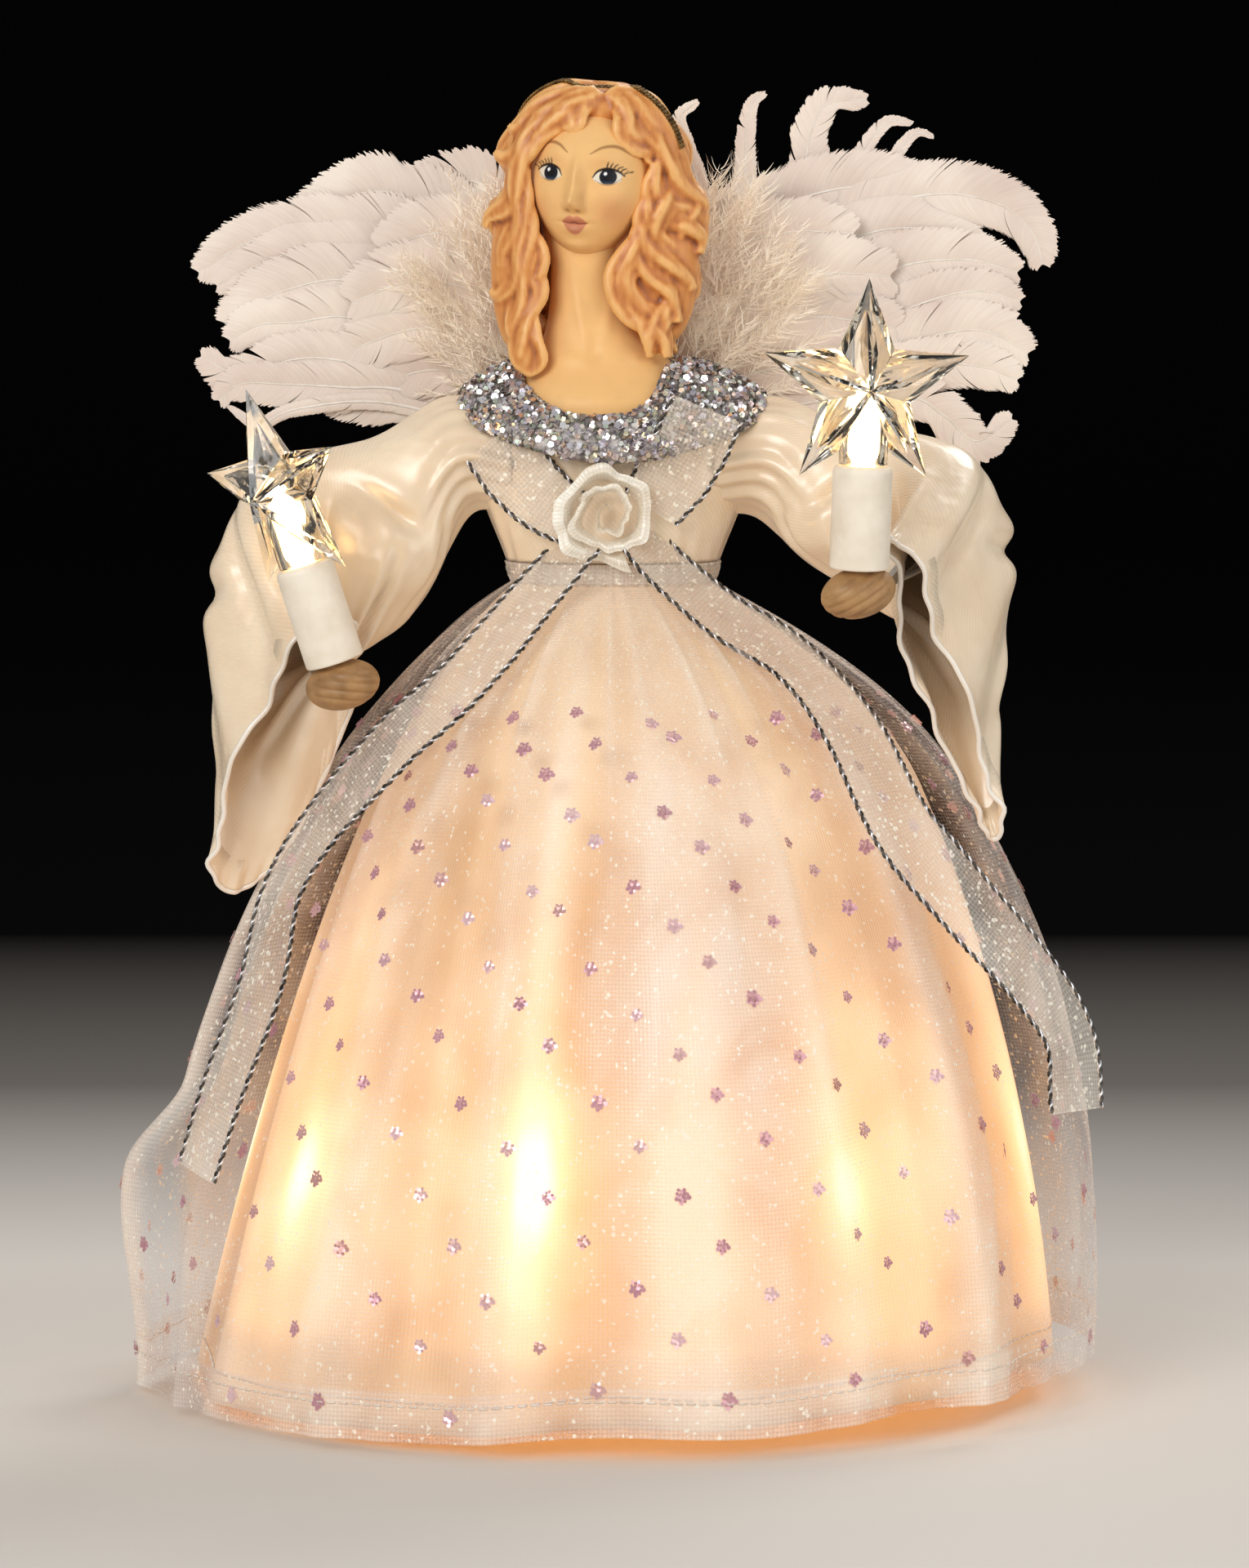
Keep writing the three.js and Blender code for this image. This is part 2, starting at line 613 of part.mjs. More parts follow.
function buildBodice() {
  let bodice = toSolid(levelShell(torsoRadius, BODICE_LEVELS, TORSO_SIDES, EASE, CLOTH));
  const armhole = SHOULDER_BALL_RADIUS + 2 * GAP + 2 * CLOTH;
  for (const arm of ARMS) {
    bodice = bodice.subtract(toSolid(ball(shoulder(arm), armhole)));
  }
  addPiece(angel, "bodice", toGeometry(bodice), MATERIALS.satin);
}

// How far a skirt stands from the waist's shape, and where it is on its bell line, at a height.
function bellLine(bell) {
  return new THREE.CubicBezierCurve(
    new THREE.Vector2(WAIST_HALF_WIDTH, SKIRT_TOP),
    new THREE.Vector2(bell.hip, SKIRT_TOP - HIP_DROP),
    new THREE.Vector2(bell.knee, bell.kneeHeight),
    new THREE.Vector2(bell.hem, bell.hemHeight),
  );
}

// A skirt's distance from the axis: the waist's oval above, passing into a folded circle below.
function skirtRadius(bell, angle, height, rise) {
  const line = bellLine(bell);
  if (height >= line.v0.y) return torsoRadius(angle, height) + rise;
  let [low, high] = [0, 1];
  for (let i = 0; i < 30; i++) {
    const middle = (low + high) / 2;
    if (line.getPoint(middle).y > height) low = middle;
    else high = middle;
  }
  const spreadOut = line.getPoint(low).x - WAIST_HALF_WIDTH;
  const roundness = Math.min(1, spreadOut / WAIST_HALF_WIDTH);
  const waist = THREE.MathUtils.lerp(torsoRadius(angle, line.v0.y), WAIST_HALF_WIDTH, roundness);
  const fold = bell.foldDepth * Math.cos(bell.folds * angle) * Math.min(1, spreadOut / WAIST_HALF_WIDTH / 2);
  return waist + rise + spreadOut + fold;
}

function skirtShell(bell, rise) {
  const line = bellLine(bell);
  const heights = [...spread(1, 0, SKIRT_LEVELS).map((s) => line.getPoint(s).y), WAIST];
  const radiusAt = (angle, height) => skirtRadius(bell, angle, height, rise);
  return levelShell(radiusAt, heights, SKIRT_SIDES, 0, CLOTH);
}

const UNDERSKIRT_RISE = GAP;
const OVERSKIRT_RISE = UNDERSKIRT_RISE + CLOTH + GAP;
const WAIST_BAND_RISE = OVERSKIRT_RISE + CLOTH + GAP;

function buildSkirts() {
  addPiece(angel, "underskirt", skirtShell(UNDERSKIRT, UNDERSKIRT_RISE), MATERIALS.satin);
  addPiece(angel, "overskirt", skirtShell(OVERSKIRT, OVERSKIRT_RISE), MATERIALS.organza);
  const bandHeights = [SKIRT_TOP + GAP, WAIST];
  const band = levelShell(torsoRadius, bandHeights, TORSO_SIDES, WAIST_BAND_RISE, WAIST_BAND_THICKNESS);
  addPiece(angel, "waist_band", band, MATERIALS.ribbon);
}

// A flat strip of ribbon that follows a surface given by its distance from the axis.
function ribbonStrip(path, radiusAt, liftAt) {
  const steps = 14;
  const across = 4;
  const places = path.map(([degrees, height]) => {
    const angle = FRONT + THREE.MathUtils.degToRad(degrees);
    return polar(angle, radiusAt(angle, height), height);
  });
  const line = new THREE.CatmullRomCurve3(places, false, "centripetal");
  const loops = spread(0, 1, steps).map((s) => {
    const point = line.getPoint(s);
    const outward = new THREE.Vector3(point.x, point.y, 0).normalize();
    const side = new THREE.Vector3().crossVectors(outward, line.getTangent(s)).normalize();
    const face = (lift) =>
      spread(-RIBBON_WIDTH / 2, RIBBON_WIDTH / 2, across).map((reach) => {
        const place = point.clone().addScaledVector(side, reach);
        const angle = Math.atan2(place.y, place.x);
        return polar(angle, radiusAt(angle, place.z) + lift, place.z);
      });
    const lift = EASE + liftAt(s);
    return [...face(lift), ...face(lift + RIBBON_THICKNESS).reverse()];
  });
  return loft(loops);
}

function overskirtCrest(angle, height) {
  const crest = { ...OVERSKIRT, folds: 0 };
  const nearBand = THREE.MathUtils.smoothstep(height, SKIRT_TOP - BAND_APPROACH, SKIRT_TOP);
  const overBand = nearBand * (GAP + WAIST_BAND_THICKNESS);
  return skirtRadius(crest, angle, height, OVERSKIRT_RISE) + CLOTH + overBand;
}

function buildRibbons() {
  for (const arm of ARMS) {
    const strap = CHEST_RIBBONS[arm.side].map(([turn, up]) => [turn, TORSO_BOTTOM + up * TORSO_HEIGHT]);
    const chest = ribbonStrip(strap, bodiceRadius, () => 0);
    addPiece(angel, `${arm.side}_chest_ribbon`, chest, MATERIALS.ribbon);
    const fall = RIBBON_TAILS[arm.side].map(([turn, up]) => [turn, up * SKIRT_TOP]);
    const tail = ribbonStrip(fall, overskirtCrest, (s) => TAIL_LIFT * s * s);
    addPiece(angel, `${arm.side}_ribbon_tail`, tail, MATERIALS.ribbon);
  }
}

// A coiled ribbon rose: a low dome whose rings of petals step in towards a raised heart.
function buildRose() {
  const height = TORSO_TOP - ROSE_DROP;
  const rose = turned(
    [
      [0, 0],
      [ROSE_RADIUS * 0.8, 0],
      [ROSE_RADIUS, ROSE_DEPTH * 0.35],
      [ROSE_RADIUS * 0.92, ROSE_DEPTH * 0.7],
      [ROSE_RADIUS * 0.66, ROSE_DEPTH * 0.62],
      [ROSE_RADIUS * 0.6, ROSE_DEPTH * 0.9],
      [ROSE_RADIUS * 0.36, ROSE_DEPTH * 0.8],
      [ROSE_RADIUS * 0.28, ROSE_DEPTH],
      [0, ROSE_DEPTH * 0.94],
    ],
    20,
  );
  const back = -bodiceRadius(FRONT, height) - RIBBON_THICKNESS - 2 * GAP;
  addPiece(angel, "ribbon_rose", rose.rotateX(Math.PI / 2).translate(0, back, height), MATERIALS.rosette);
}

function bulbProfile(seatHeight) {
  const shoulderHeight = seatHeight + 1;
  const neck = shoulderHeight + BULB_GLASS_LENGTH;
  return [
    [0, seatHeight - BULB_BASE_LENGTH],
    [BULB_BASE_RADIUS, seatHeight - BULB_BASE_LENGTH],
    [BULB_BASE_RADIUS, shoulderHeight],
    [BULB_GLASS_RADIUS, shoulderHeight],
    [BULB_GLASS_RADIUS, neck - BULB_GLASS_RADIUS],
    [BULB_GLASS_RADIUS * 0.7, neck - BULB_GLASS_RADIUS * 0.3],
    [BULB_GLASS_RADIUS * 0.25, neck],
    [0, neck + BULB_TIP_LENGTH],
  ];
}

function buildSkirtLamps() {
  const bore = BULB_BASE_RADIUS + GAP;
  const flangeTop = GAP + HOLDER_FLANGE_THICKNESS;
  const boreFoot = HOLDER_OUTSIDE_LENGTH - BULB_BASE_LENGTH - GAP;
  const holder = [
    [0, -HOLDER_INSIDE_LENGTH],
    [HOLDER_RADIUS, -HOLDER_INSIDE_LENGTH],
    [HOLDER_RADIUS, GAP],
    [HOLDER_FLANGE_RADIUS, GAP],
    [HOLDER_FLANGE_RADIUS, flangeTop],
    [HOLDER_RADIUS, flangeTop],
    [HOLDER_RADIUS, HOLDER_OUTSIDE_LENGTH],
    [bore, HOLDER_OUTSIDE_LENGTH],
    [bore, boreFoot],
    [0, boreFoot],
  ];
  for (let index = 0; index < LAMP_COUNT; index++) {
    const seat = lampSeat(index);
    angel.add(seat);
    addPiece(seat, `skirt_lamp_holder_${index + 1}`, turned(holder, 8), MATERIALS.holderPlastic);
    const bulb = turned(bulbProfile(HOLDER_OUTSIDE_LENGTH + GAP), 8);
    addPiece(seat, `skirt_lamp_bulb_${index + 1}`, bulb, MATERIALS.litGlass);
  }
}

// The lamps' wire runs round inside the cone, along the holders' inner ends, and is open at the back.
const WIRE_DEPTH = HOLDER_INSIDE_LENGTH + GAP + LEAD_RADIUS;
const RING_RADIUS = coneRadius(LAMP_HEIGHT) - WIRE_DEPTH * Math.cos(WALL_LEAN);
const RING_HEIGHT = LAMP_HEIGHT - WIRE_DEPTH * Math.sin(WALL_LEAN);

function buildWiring() {
  const back = Math.PI / 2;
  const ring = spread(back + RING_OPENING / 2, back + TAU - RING_OPENING / 2, 33).map((angle) =>
    polar(angle, RING_RADIUS, RING_HEIGHT),
  );
  addPiece(angel, "skirt_lamp_wire", wire(ring, LEAD_RADIUS, 32), MATERIALS.leadInsulation);
  const inWell = LEAD_WELL_RADIUS - LEAD_RADIUS - 3 * GAP;
  const wellFoot = CONE_HEIGHT - PLUG_LENGTH;
  for (const arm of ARMS) {
    const between = lampAzimuth(arm.outward > 0 ? 2.5 : 6.5);
    const start = arm.outward > 0 ? 0 : Math.PI;
    const wallRadius = (height) => coneRadius(height) - CONE_WALL - 2 * LEAD_RADIUS - 2 * GAP;
    const ringTop = RING_HEIGHT + 2 * LEAD_RADIUS + GAP;
    const points = [
      polar(start, SHOULDER_REACH - SHOULDER_BALL_RADIUS - 2 * GAP, SHOULDER_HEIGHT),
      polar(start, LEAD_WELL_RADIUS + 4, SHOULDER_HEIGHT),
      polar(start, LEAD_WELL_RADIUS, SHOULDER_HEIGHT),
      polar(start, inWell - 1, SHOULDER_HEIGHT - 4),
      polar(start, inWell - 1, SHOULDER_HEIGHT - 10),
      polar(start, inWell - 1, CONE_HEIGHT),
      polar(start, inWell - 1, wellFoot - 2),
      polar(between, wallRadius(wellFoot - 20), wellFoot - 20),
      polar(between, wallRadius(LAMP_HEIGHT * 2), LAMP_HEIGHT * 2),
      polar(between, RING_RADIUS + 6, ringTop + 14),
      polar(between, RING_RADIUS, ringTop + 4),
      polar(between, RING_RADIUS, ringTop),
    ];
    addPiece(angel, `${arm.side}_body_lead`, wire(points, LEAD_RADIUS, 30), MATERIALS.leadInsulation);
  }
}

// The candle's frame: its foot on the hand's seat, and its Z axis up the candle.
function candleFrame(arm) {
  const up = arm.candleAxis.clone().normalize();
  const turn = new THREE.Quaternion().setFromUnitVectors(new THREE.Vector3(0, 0, 1), up);
  const foot = shoulder(arm).add(arm.hand).addScaledVector(up, HAND_SEAT + GAP);
  return new THREE.Matrix4().compose(foot, turn, new THREE.Vector3(1, 1, 1));
}

function buildArm(arm) {
  const pivot = shoulder(arm);
  const elbow = pivot.clone().add(arm.elbow);
  const hand = pivot.clone().add(arm.hand);
  const forearm = new THREE.Vector3().subVectors(elbow, hand).normalize();
  const frame = candleFrame(arm);

  const along = new THREE.Vector3(forearm.x, forearm.y, 0).normalize();
  const bend = [
    pivot,
    pivot.clone().lerp(elbow, 0.55),
    elbow,
    hand.clone().lerp(elbow, 0.6),
    hand.clone().addScaledVector(along, HAND_HALF_LENGTH + 2),
    hand.clone().addScaledVector(along, CANDLE_STEM_RADIUS + ARM_WIRE_RADIUS + 3 * GAP),
  ];
  const rodSolid = toSolid(wire(bend, ARM_WIRE_RADIUS, 16)).add(toSolid(ball(pivot, SHOULDER_BALL_RADIUS)));
  addPiece(angel, `${arm.side}_arm_wire`, toGeometry(rodSolid), MATERIALS.armWire);

  const beside = (from, to) => {
    const travel = new THREE.Vector3().subVectors(to, from);
    return new THREE.Vector3(travel.y, -travel.x, 0).normalize().multiplyScalar(arm.outward);
  };
  const besideForearm = beside(hand, elbow);
  const besideUpperArm = beside(elbow, pivot);
  const besideElbow = new THREE.Vector3().addVectors(besideForearm, besideUpperArm).normalize();
  const strapped = ARM_WIRE_RADIUS + LEAD_RADIUS + 1.5 * GAP;
  const lead = [
    new THREE.Vector3(0, 0, -CANDLE_STEM_LENGTH - GAP).applyMatrix4(frame),
    new THREE.Vector3(0, 0, -CANDLE_STEM_LENGTH - GAP - LEAD_RADIUS).applyMatrix4(frame),
    new THREE.Vector3(0, 0, -CANDLE_STEM_LENGTH - GAP - 3 * LEAD_RADIUS).applyMatrix4(frame),
    bend[4].clone().addScaledVector(besideForearm, strapped),
    bend[3].clone().addScaledVector(besideForearm, strapped),
    elbow.clone().addScaledVector(besideElbow, strapped),
    bend[1].clone().addScaledVector(besideUpperArm, strapped),
    pivot.clone().lerp(elbow, 0.32).addScaledVector(besideUpperArm, strapped),
  ];
  const fist = new THREE.SphereGeometry(1, 14, 8).scale(HAND_HALF_LENGTH, HAND_HALF_WIDTH, HAND_HALF_HEIGHT);
  fist.rotateZ(Math.atan2(along.y, along.x)).translate(0, 0, -HAND_SEAT - GAP).applyMatrix4(frame);
  const seatCut = new THREE.BoxGeometry(30, 30, 30).translate(0, 0, 15 - GAP).applyMatrix4(frame);
  const stemFrom = new THREE.Vector3(0, 0, -30).applyMatrix4(frame);
  const stemTo = new THREE.Vector3(0, 0, 30).applyMatrix4(frame);
  const handSolid = toSolid(fist)
    .subtract(toSolid(seatCut))
    .subtract(toSolid(rod(stemFrom, stemTo, CANDLE_STEM_RADIUS + GAP)))
    .subtract(toSolid(wire(bend, ARM_WIRE_RADIUS + GAP, 16)))
    .subtract(toSolid(wire(lead, LEAD_RADIUS + GAP, 20)));
  addPiece(angel, `${arm.side}_hand`, toGeometry(handSolid), MATERIALS.paintedHand);

  addPiece(angel, `${arm.side}_candle_lead`, wire(lead, LEAD_RADIUS, 20), MATERIALS.leadInsulation);
}

function buildCandle(arm) {
  const frame = candleFrame(arm);
  const bore = BULB_BASE_RADIUS + GAP;
  const boreFoot = CANDLE_LENGTH - BULB_BASE_LENGTH;
  const holder = turned(
    [
      [0, -CANDLE_STEM_LENGTH],
      [CANDLE_STEM_RADIUS, -CANDLE_STEM_LENGTH],
      [CANDLE_STEM_RADIUS, 0],
      [CANDLE_RADIUS, 0],
      [CANDLE_RADIUS, CANDLE_LENGTH],
      [bore, CANDLE_LENGTH],
      [bore, boreFoot],
      [0, boreFoot],
    ],
    16,
  );
  addPiece(angel, `${arm.side}_candle_holder`, holder.applyMatrix4(frame), MATERIALS.holderPlastic);
  const bulb = turned(bulbProfile(CANDLE_LENGTH + GAP), 12);
  addPiece(angel, `${arm.side}_candle_bulb`, bulb.applyMatrix4(frame), MATERIALS.litGlass);
  addPiece(angel, `${arm.side}_star_cover`, starCover(arm).applyMatrix4(frame), MATERIALS.clearStar);
}

// Five hollow points, each a ridge from the star's middle, front and back, to its tip.
function starShape(tip, valley, halfDepth) {
  const corners = [new THREE.Vector3(0, -halfDepth, 0), new THREE.Vector3(0, halfDepth, 0)];
  for (let i = 0; i < 10; i++) {
    const angle = Math.PI / 2 + (TAU * i) / 10;
    const radius = i % 2 ? valley : tip;
    corners.push(new THREE.Vector3(radius * Math.cos(angle), 0, radius * Math.sin(angle)));
  }
  const faces = [];
  for (let i = 0; i < 10; i++) {
    const here = 2 + i;
    const next = 2 + ((i + 1) % 10);
    faces.push(0, here, next, 1, next, here);
  }
  const geometry = new THREE.BufferGeometry();
  geometry.setAttribute("position", new THREE.Float32BufferAttribute(corners.flatMap((c) => c.toArray()), 3));
  geometry.setIndex(faces);
  return facingOut(geometry);
}

function starCover(arm) {
  const centre = CANDLE_LENGTH + STAR_RISE;
  const bore = BULB_GLASS_RADIUS + GAP;
  const foot = CANDLE_LENGTH + GAP;
  const place = (geometry) => geometry.rotateZ(arm.starTurn).translate(0, 0, centre);
  const up = (height) => new THREE.Vector3(0, 0, height);
  const skin = place(starShape(STAR_RADIUS, STAR_VALLEY_RADIUS, STAR_HALF_DEPTH));
  const thinning = 1 - STAR_WALL / (STAR_VALLEY_RADIUS * Math.cos(Math.PI / 5));
  const hollow = place(
    starShape(STAR_RADIUS * thinning - STAR_WALL, STAR_VALLEY_RADIUS * thinning, STAR_HALF_DEPTH - STAR_WALL),
  );
  const collar = rod(up(foot), up(centre), bore + STAR_COLLAR_WALL, 16);
  const bulbTop = CANDLE_LENGTH + 2 * GAP + 1 + BULB_GLASS_LENGTH + BULB_TIP_LENGTH;
  const bulbRoom = rod(up(foot - 1), up(bulbTop + GAP), bore, 16);
  const cover = toSolid(skin).add(toSolid(collar)).subtract(toSolid(hollow)).subtract(toSolid(bulbRoom));
  return toGeometry(cover);
}

// A bell sleeve lofted from the shoulder ball, round the elbow, to a long pointed cuff.
function buildSleeve(arm) {
  const pivot = shoulder(arm);
  const out = new THREE.Vector3(arm.outward, 0, 0);
  const elbow = pivot.clone().add(arm.elbow);
  const hand = pivot.clone().add(arm.hand);
  const tip = pivot.clone().add(arm.sleeveTip);
  const forearm = new THREE.Vector3().subVectors(elbow, hand).normalize();
  const wristTop = hand.clone().addScaledVector(forearm, HAND_HALF_LENGTH + 3);
  wristTop.z += SLEEVE_CUFF_RISE;
  const headRadius = SHOULDER_BALL_RADIUS + GAP;
  const headSink = 1.5;
  const cuffUp = new THREE.Vector3().subVectors(wristTop, tip).multiplyScalar(0.5);
  const cuffSide = new THREE.Vector3().crossVectors(cuffUp, forearm).normalize();
  const stations = [
    {
      centre: pivot.clone().addScaledVector(out, headSink),
      up: new THREE.Vector3(0, 0, headRadius),
      across: new THREE.Vector3(0, headRadius, 0),
    },
    {
      centre: pivot.clone().lerp(elbow, 0.38),
      up: new THREE.Vector3(0, 0, SLEEVE_UPPER_RADIUS),
      across: new THREE.Vector3(0.35 * arm.outward, 0.94, 0).multiplyScalar(SLEEVE_UPPER_RADIUS),
    },
    {
      centre: elbow,
      up: new THREE.Vector3(0, 0, SLEEVE_ELBOW_HALF_HEIGHT),
      across: new THREE.Vector3(0.85 * arm.outward, 0.5, 0).multiplyScalar(SLEEVE_ELBOW_HALF_WIDTH),
    },
    {
      centre: new THREE.Vector3().addVectors(wristTop, tip).multiplyScalar(0.5),
      up: cuffUp,
      across: cuffSide.multiplyScalar(SLEEVE_CUFF_HALF_WIDTH * Math.sign(cuffSide.x) * arm.outward),
    },
  ];
  const lines = ["centre", "up", "across"].map(
    (key) => new THREE.CatmullRomCurve3(stations.map((station) => station[key]), false, "catmullrom", 0.5),
  );
  const loopAt = (s, inset) => {
    const [centre, up, across] = lines.map((line) => line.getPoint(s));
    const fold = (angle) => 1 + (SLEEVE_FOLD_DEPTH / across.length()) * s * Math.cos(SLEEVE_FOLDS * angle);
    return Array.from({ length: SLEEVE_SIDES }, (_, i) => {
      const angle = (TAU * i) / SLEEVE_SIDES;
      const high = (1 - inset / up.length()) * fold(angle) * Math.cos(angle);
      const wide = (1 - inset / across.length()) * fold(angle) * Math.sin(angle);
      return centre.clone().addScaledVector(up, high).addScaledVector(across, wide);
    });
  };
  const steps = spread(0, 1, SLEEVE_STEPS);
  const outer = steps.map((s) => loopAt(s, -CLOTH));
  const inner = steps.map((s) => loopAt(s, 0)).reverse();
  addPiece(angel, `${arm.side}_sleeve`, loft([...outer, ...inner], true), MATERIALS.satin);
}

const WING_CARD_FRONT = Math.max(WAIST_HALF_DEPTH, CHEST_HALF_DEPTH) + EASE + CLOTH + GAP;
const WING_BACK = WING_CARD_FRONT + WING_CARD_THICKNESS + GAP;
const WING_HEIGHT = TORSO_TOP - WING_CARD_HEIGHT / 2 - 2;

function buildWingCard() {
  const card = new THREE.BoxGeometry(WING_CARD_WIDTH, WING_CARD_THICKNESS, WING_CARD_HEIGHT);
  card.translate(0, WING_CARD_FRONT + WING_CARD_THICKNESS / 2, WING_HEIGHT);
  addPiece(angel, "wing_card", card, MATERIALS.card);
}

// One feather's leaf outline, from its quill at the origin out along +X.
function featherOutline(length, width) {
  const quill = width / 6;
  return new THREE.Shape()
    .moveTo(0, -quill)
    .bezierCurveTo(length * 0.35, -width * 0.62, length * 0.8, -width * 0.6, length, 0)
    .bezierCurveTo(length * 0.85, width * 0.5, length * 0.4, width * 0.6, 0, quill);
}

function buildWing(arm) {
  const rootX = arm.outward * (WING_ROOT_RADIUS + GAP);
  const depth = FEATHER_THICKNESS + FEATHER_STEP * FEATHERS[arm.side].length;
  const pad = new THREE.CylinderGeometry(WING_ROOT_RADIUS, WING_ROOT_RADIUS, depth, 20);
  let fan = toSolid(pad.translate(0, depth / 2, 0));
  FEATHERS[arm.side].forEach(([degrees, length, width], index) => {
    const outline = featherOutline(FEATHER_LENGTH * length, FEATHER_WIDTH * width);
    const leaf = new THREE.ExtrudeGeometry(outline, {
      depth: FEATHER_THICKNESS,
      bevelEnabled: false,
      curveSegments: 6,
    });
    leaf.rotateX(Math.PI / 2).rotateY(-THREE.MathUtils.degToRad(degrees));
    leaf.translate(0, FEATHER_THICKNESS + FEATHER_STEP * index, 0);
    fan = fan.add(toSolid(leaf));
  });
  const placed = toGeometry(fan);
  if (arm.outward < 0) placed.rotateZ(Math.PI).translate(0, depth, 0);
  placed.translate(rootX, WING_BACK, WING_HEIGHT);
  addPiece(angel, `${arm.side}_wing_feathers`, placed, MATERIALS.feather);

  const down = new THREE.SphereGeometry(1, 14, 8);
  down.scale(DOWN_HALF_WIDTH, DOWN_THICKNESS / 2, DOWN_HALF_HEIGHT);
  const downFront = WING_BACK + 2 * FEATHER_STEP - GAP - DOWN_THICKNESS / 2;
  down.translate(rootX + arm.outward * DOWN_OUTSET, downFront, WING_HEIGHT + DOWN_RISE);
  addPiece(angel, `${arm.side}_wing_down`, down, MATERIALS.feather);
}

buildBaseCone();
buildTorsoFormer();
buildBust();
buildHair();
buildHeadband();
buildCollar();
buildBodice();
buildSkirts();
buildRibbons();
buildRose();
buildSkirtLamps();
buildWiring();
buildWingCard();
for (const arm of ARMS) {
  buildArm(arm);
  buildCandle(arm);
  buildSleeve(arm);
  buildWing(arm);
}

export default angel;
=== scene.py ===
"""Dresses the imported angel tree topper: cloth, ribbons, feathers, hair, painted face and lamps."""
import math
from functools import partial

import bpy
import bmesh
import numpy as np
from mathutils import Matrix, Vector


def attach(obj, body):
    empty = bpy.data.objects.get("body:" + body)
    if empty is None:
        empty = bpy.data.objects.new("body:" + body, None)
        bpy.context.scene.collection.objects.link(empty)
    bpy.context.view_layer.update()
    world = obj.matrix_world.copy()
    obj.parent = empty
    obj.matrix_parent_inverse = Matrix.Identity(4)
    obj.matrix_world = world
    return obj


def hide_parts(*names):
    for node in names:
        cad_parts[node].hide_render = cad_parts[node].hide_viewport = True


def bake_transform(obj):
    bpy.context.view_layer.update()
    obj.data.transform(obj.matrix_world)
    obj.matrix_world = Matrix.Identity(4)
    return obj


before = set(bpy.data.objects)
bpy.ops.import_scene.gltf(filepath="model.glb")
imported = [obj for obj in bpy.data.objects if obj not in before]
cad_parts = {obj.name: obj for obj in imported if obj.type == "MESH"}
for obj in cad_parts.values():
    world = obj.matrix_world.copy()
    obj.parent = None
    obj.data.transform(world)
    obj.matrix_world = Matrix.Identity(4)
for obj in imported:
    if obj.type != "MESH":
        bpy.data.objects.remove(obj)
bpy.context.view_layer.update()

# Pieces are drawn in millimetres and written in metres.
MM = 0.001
TAU = 2 * math.pi
FRONT = -math.pi / 2
SIDES = {"left": -1, "right": 1}
ROOT = "dressed_cone"


# Small helpers

def colour(code):
    """An sRGB hex code as linear red, green, blue and alpha."""
    parts = [int(code[i:i + 2], 16) / 255 for i in (1, 3, 5)]
    return tuple(c / 12.92 if c <= 0.04045 else ((c + 0.055) / 1.055) ** 2.4 for c in parts) + (1.0,)


def put(tree, kind, inputs=(), stops=(), out="", **settings):
    """Adds a node with its settings, its inputs as values or links, and a colour ramp's (place, hex) stops.
    A kind without a prefix is a shader node. Gives the output asked for, or else the factor or the first one;
    for None it gives all the outputs."""
    node = tree.nodes.new(kind if "Node" in kind else "ShaderNode" + kind)
    for key, value in settings.items():
        setattr(node, key, value)
    for key, value in inputs.items() if isinstance(inputs, dict) else enumerate(inputs):
        if isinstance(value, bpy.types.NodeSocket):
            tree.links.new(value, node.inputs[key])
        else:
            node.inputs[key].default_value = value
    for i, (place, code) in enumerate(stops):
        band = node.color_ramp.elements
        stop = band[i] if i < len(band) else band.new(place)
        stop.position, stop.color = place, colour(code)
    if out == "":
        out = "Fac" if "Fac" in node.outputs else 0
    return node.outputs if out is None else node.outputs[out]


def smoothstep(x, low, high):
    t = np.clip((np.asarray(x, float) - low) / (high - low), 0, 1)
    return t * t * (3 - 2 * t)


def bump_at(*scaled):
    """A round hill over distances that are already divided by its reach."""
    return np.exp(-sum(np.asarray(s, float) ** 2 for s in scaled))


def unit(vectors):
    vectors = np.asarray(vectors, float)
    return vectors / np.maximum(np.linalg.norm(vectors, axis=-1, keepdims=True), 1e-9)


def way_along(line):
    return unit(np.gradient(line, axis=0))


def square_to(vectors, along):
    """The vectors turned square to the way along a line."""
    return unit(vectors - along * (vectors * along).sum(axis=1, keepdims=True))


def full_turn(count, start=0.0):
    return np.arange(count) * TAU / count + start


def wrapped(angle):
    """An angle between minus half a turn and half a turn."""
    return (angle + math.pi) % TAU - math.pi


def run_of(line):
    """The length along a line at each of its points."""
    return np.concatenate([[0], np.cumsum(np.linalg.norm(np.diff(line, axis=0), axis=1))])


def sampled(at, run, line):
    return np.stack([np.interp(at, run, line[:, i]) for i in range(line.shape[1])], axis=-1)


def smooth_line(points, count):
    """A Catmull-Rom line through the points, sampled evenly by length."""
    points = np.asarray(points, float)
    ends = np.vstack([2 * points[0] - points[1], points, 2 * points[-1] - points[-2]])
    t = np.linspace(0, 1, 24, endpoint=False)[:, None]
    fine = [0.5 * (2 * b + (c - a) * t + (2 * a - 5 * b + 4 * c - d) * t ** 2
                   + (3 * b - a - 3 * c + d) * t ** 3)
            for a, b, c, d in zip(ends, ends[1:], ends[2:], ends[3:])]
    fine = np.vstack(fine + [points[-1:]])
    run = run_of(fine)
    return sampled(np.linspace(0, run[-1], count), run, fine)


def ripples(angle, counts, seed, wave=np.cos):
    """An uneven wave round a full turn, made of whole numbers of folds, between about -1 and 1."""
    rng = np.random.default_rng(seed)
    total = np.zeros_like(np.asarray(angle, float))
    for count in counts:
        total = total + rng.uniform(0.5, 1) * wave(count * angle + rng.uniform(0, TAU))
    return total / (0.62 * len(counts))


def grid_normals(grid, closed):
    across = np.roll(grid, -1, 1) - np.roll(grid, 1, 1) if closed else np.gradient(grid, axis=1)
    return unit(np.cross(across, np.gradient(grid, axis=0)))


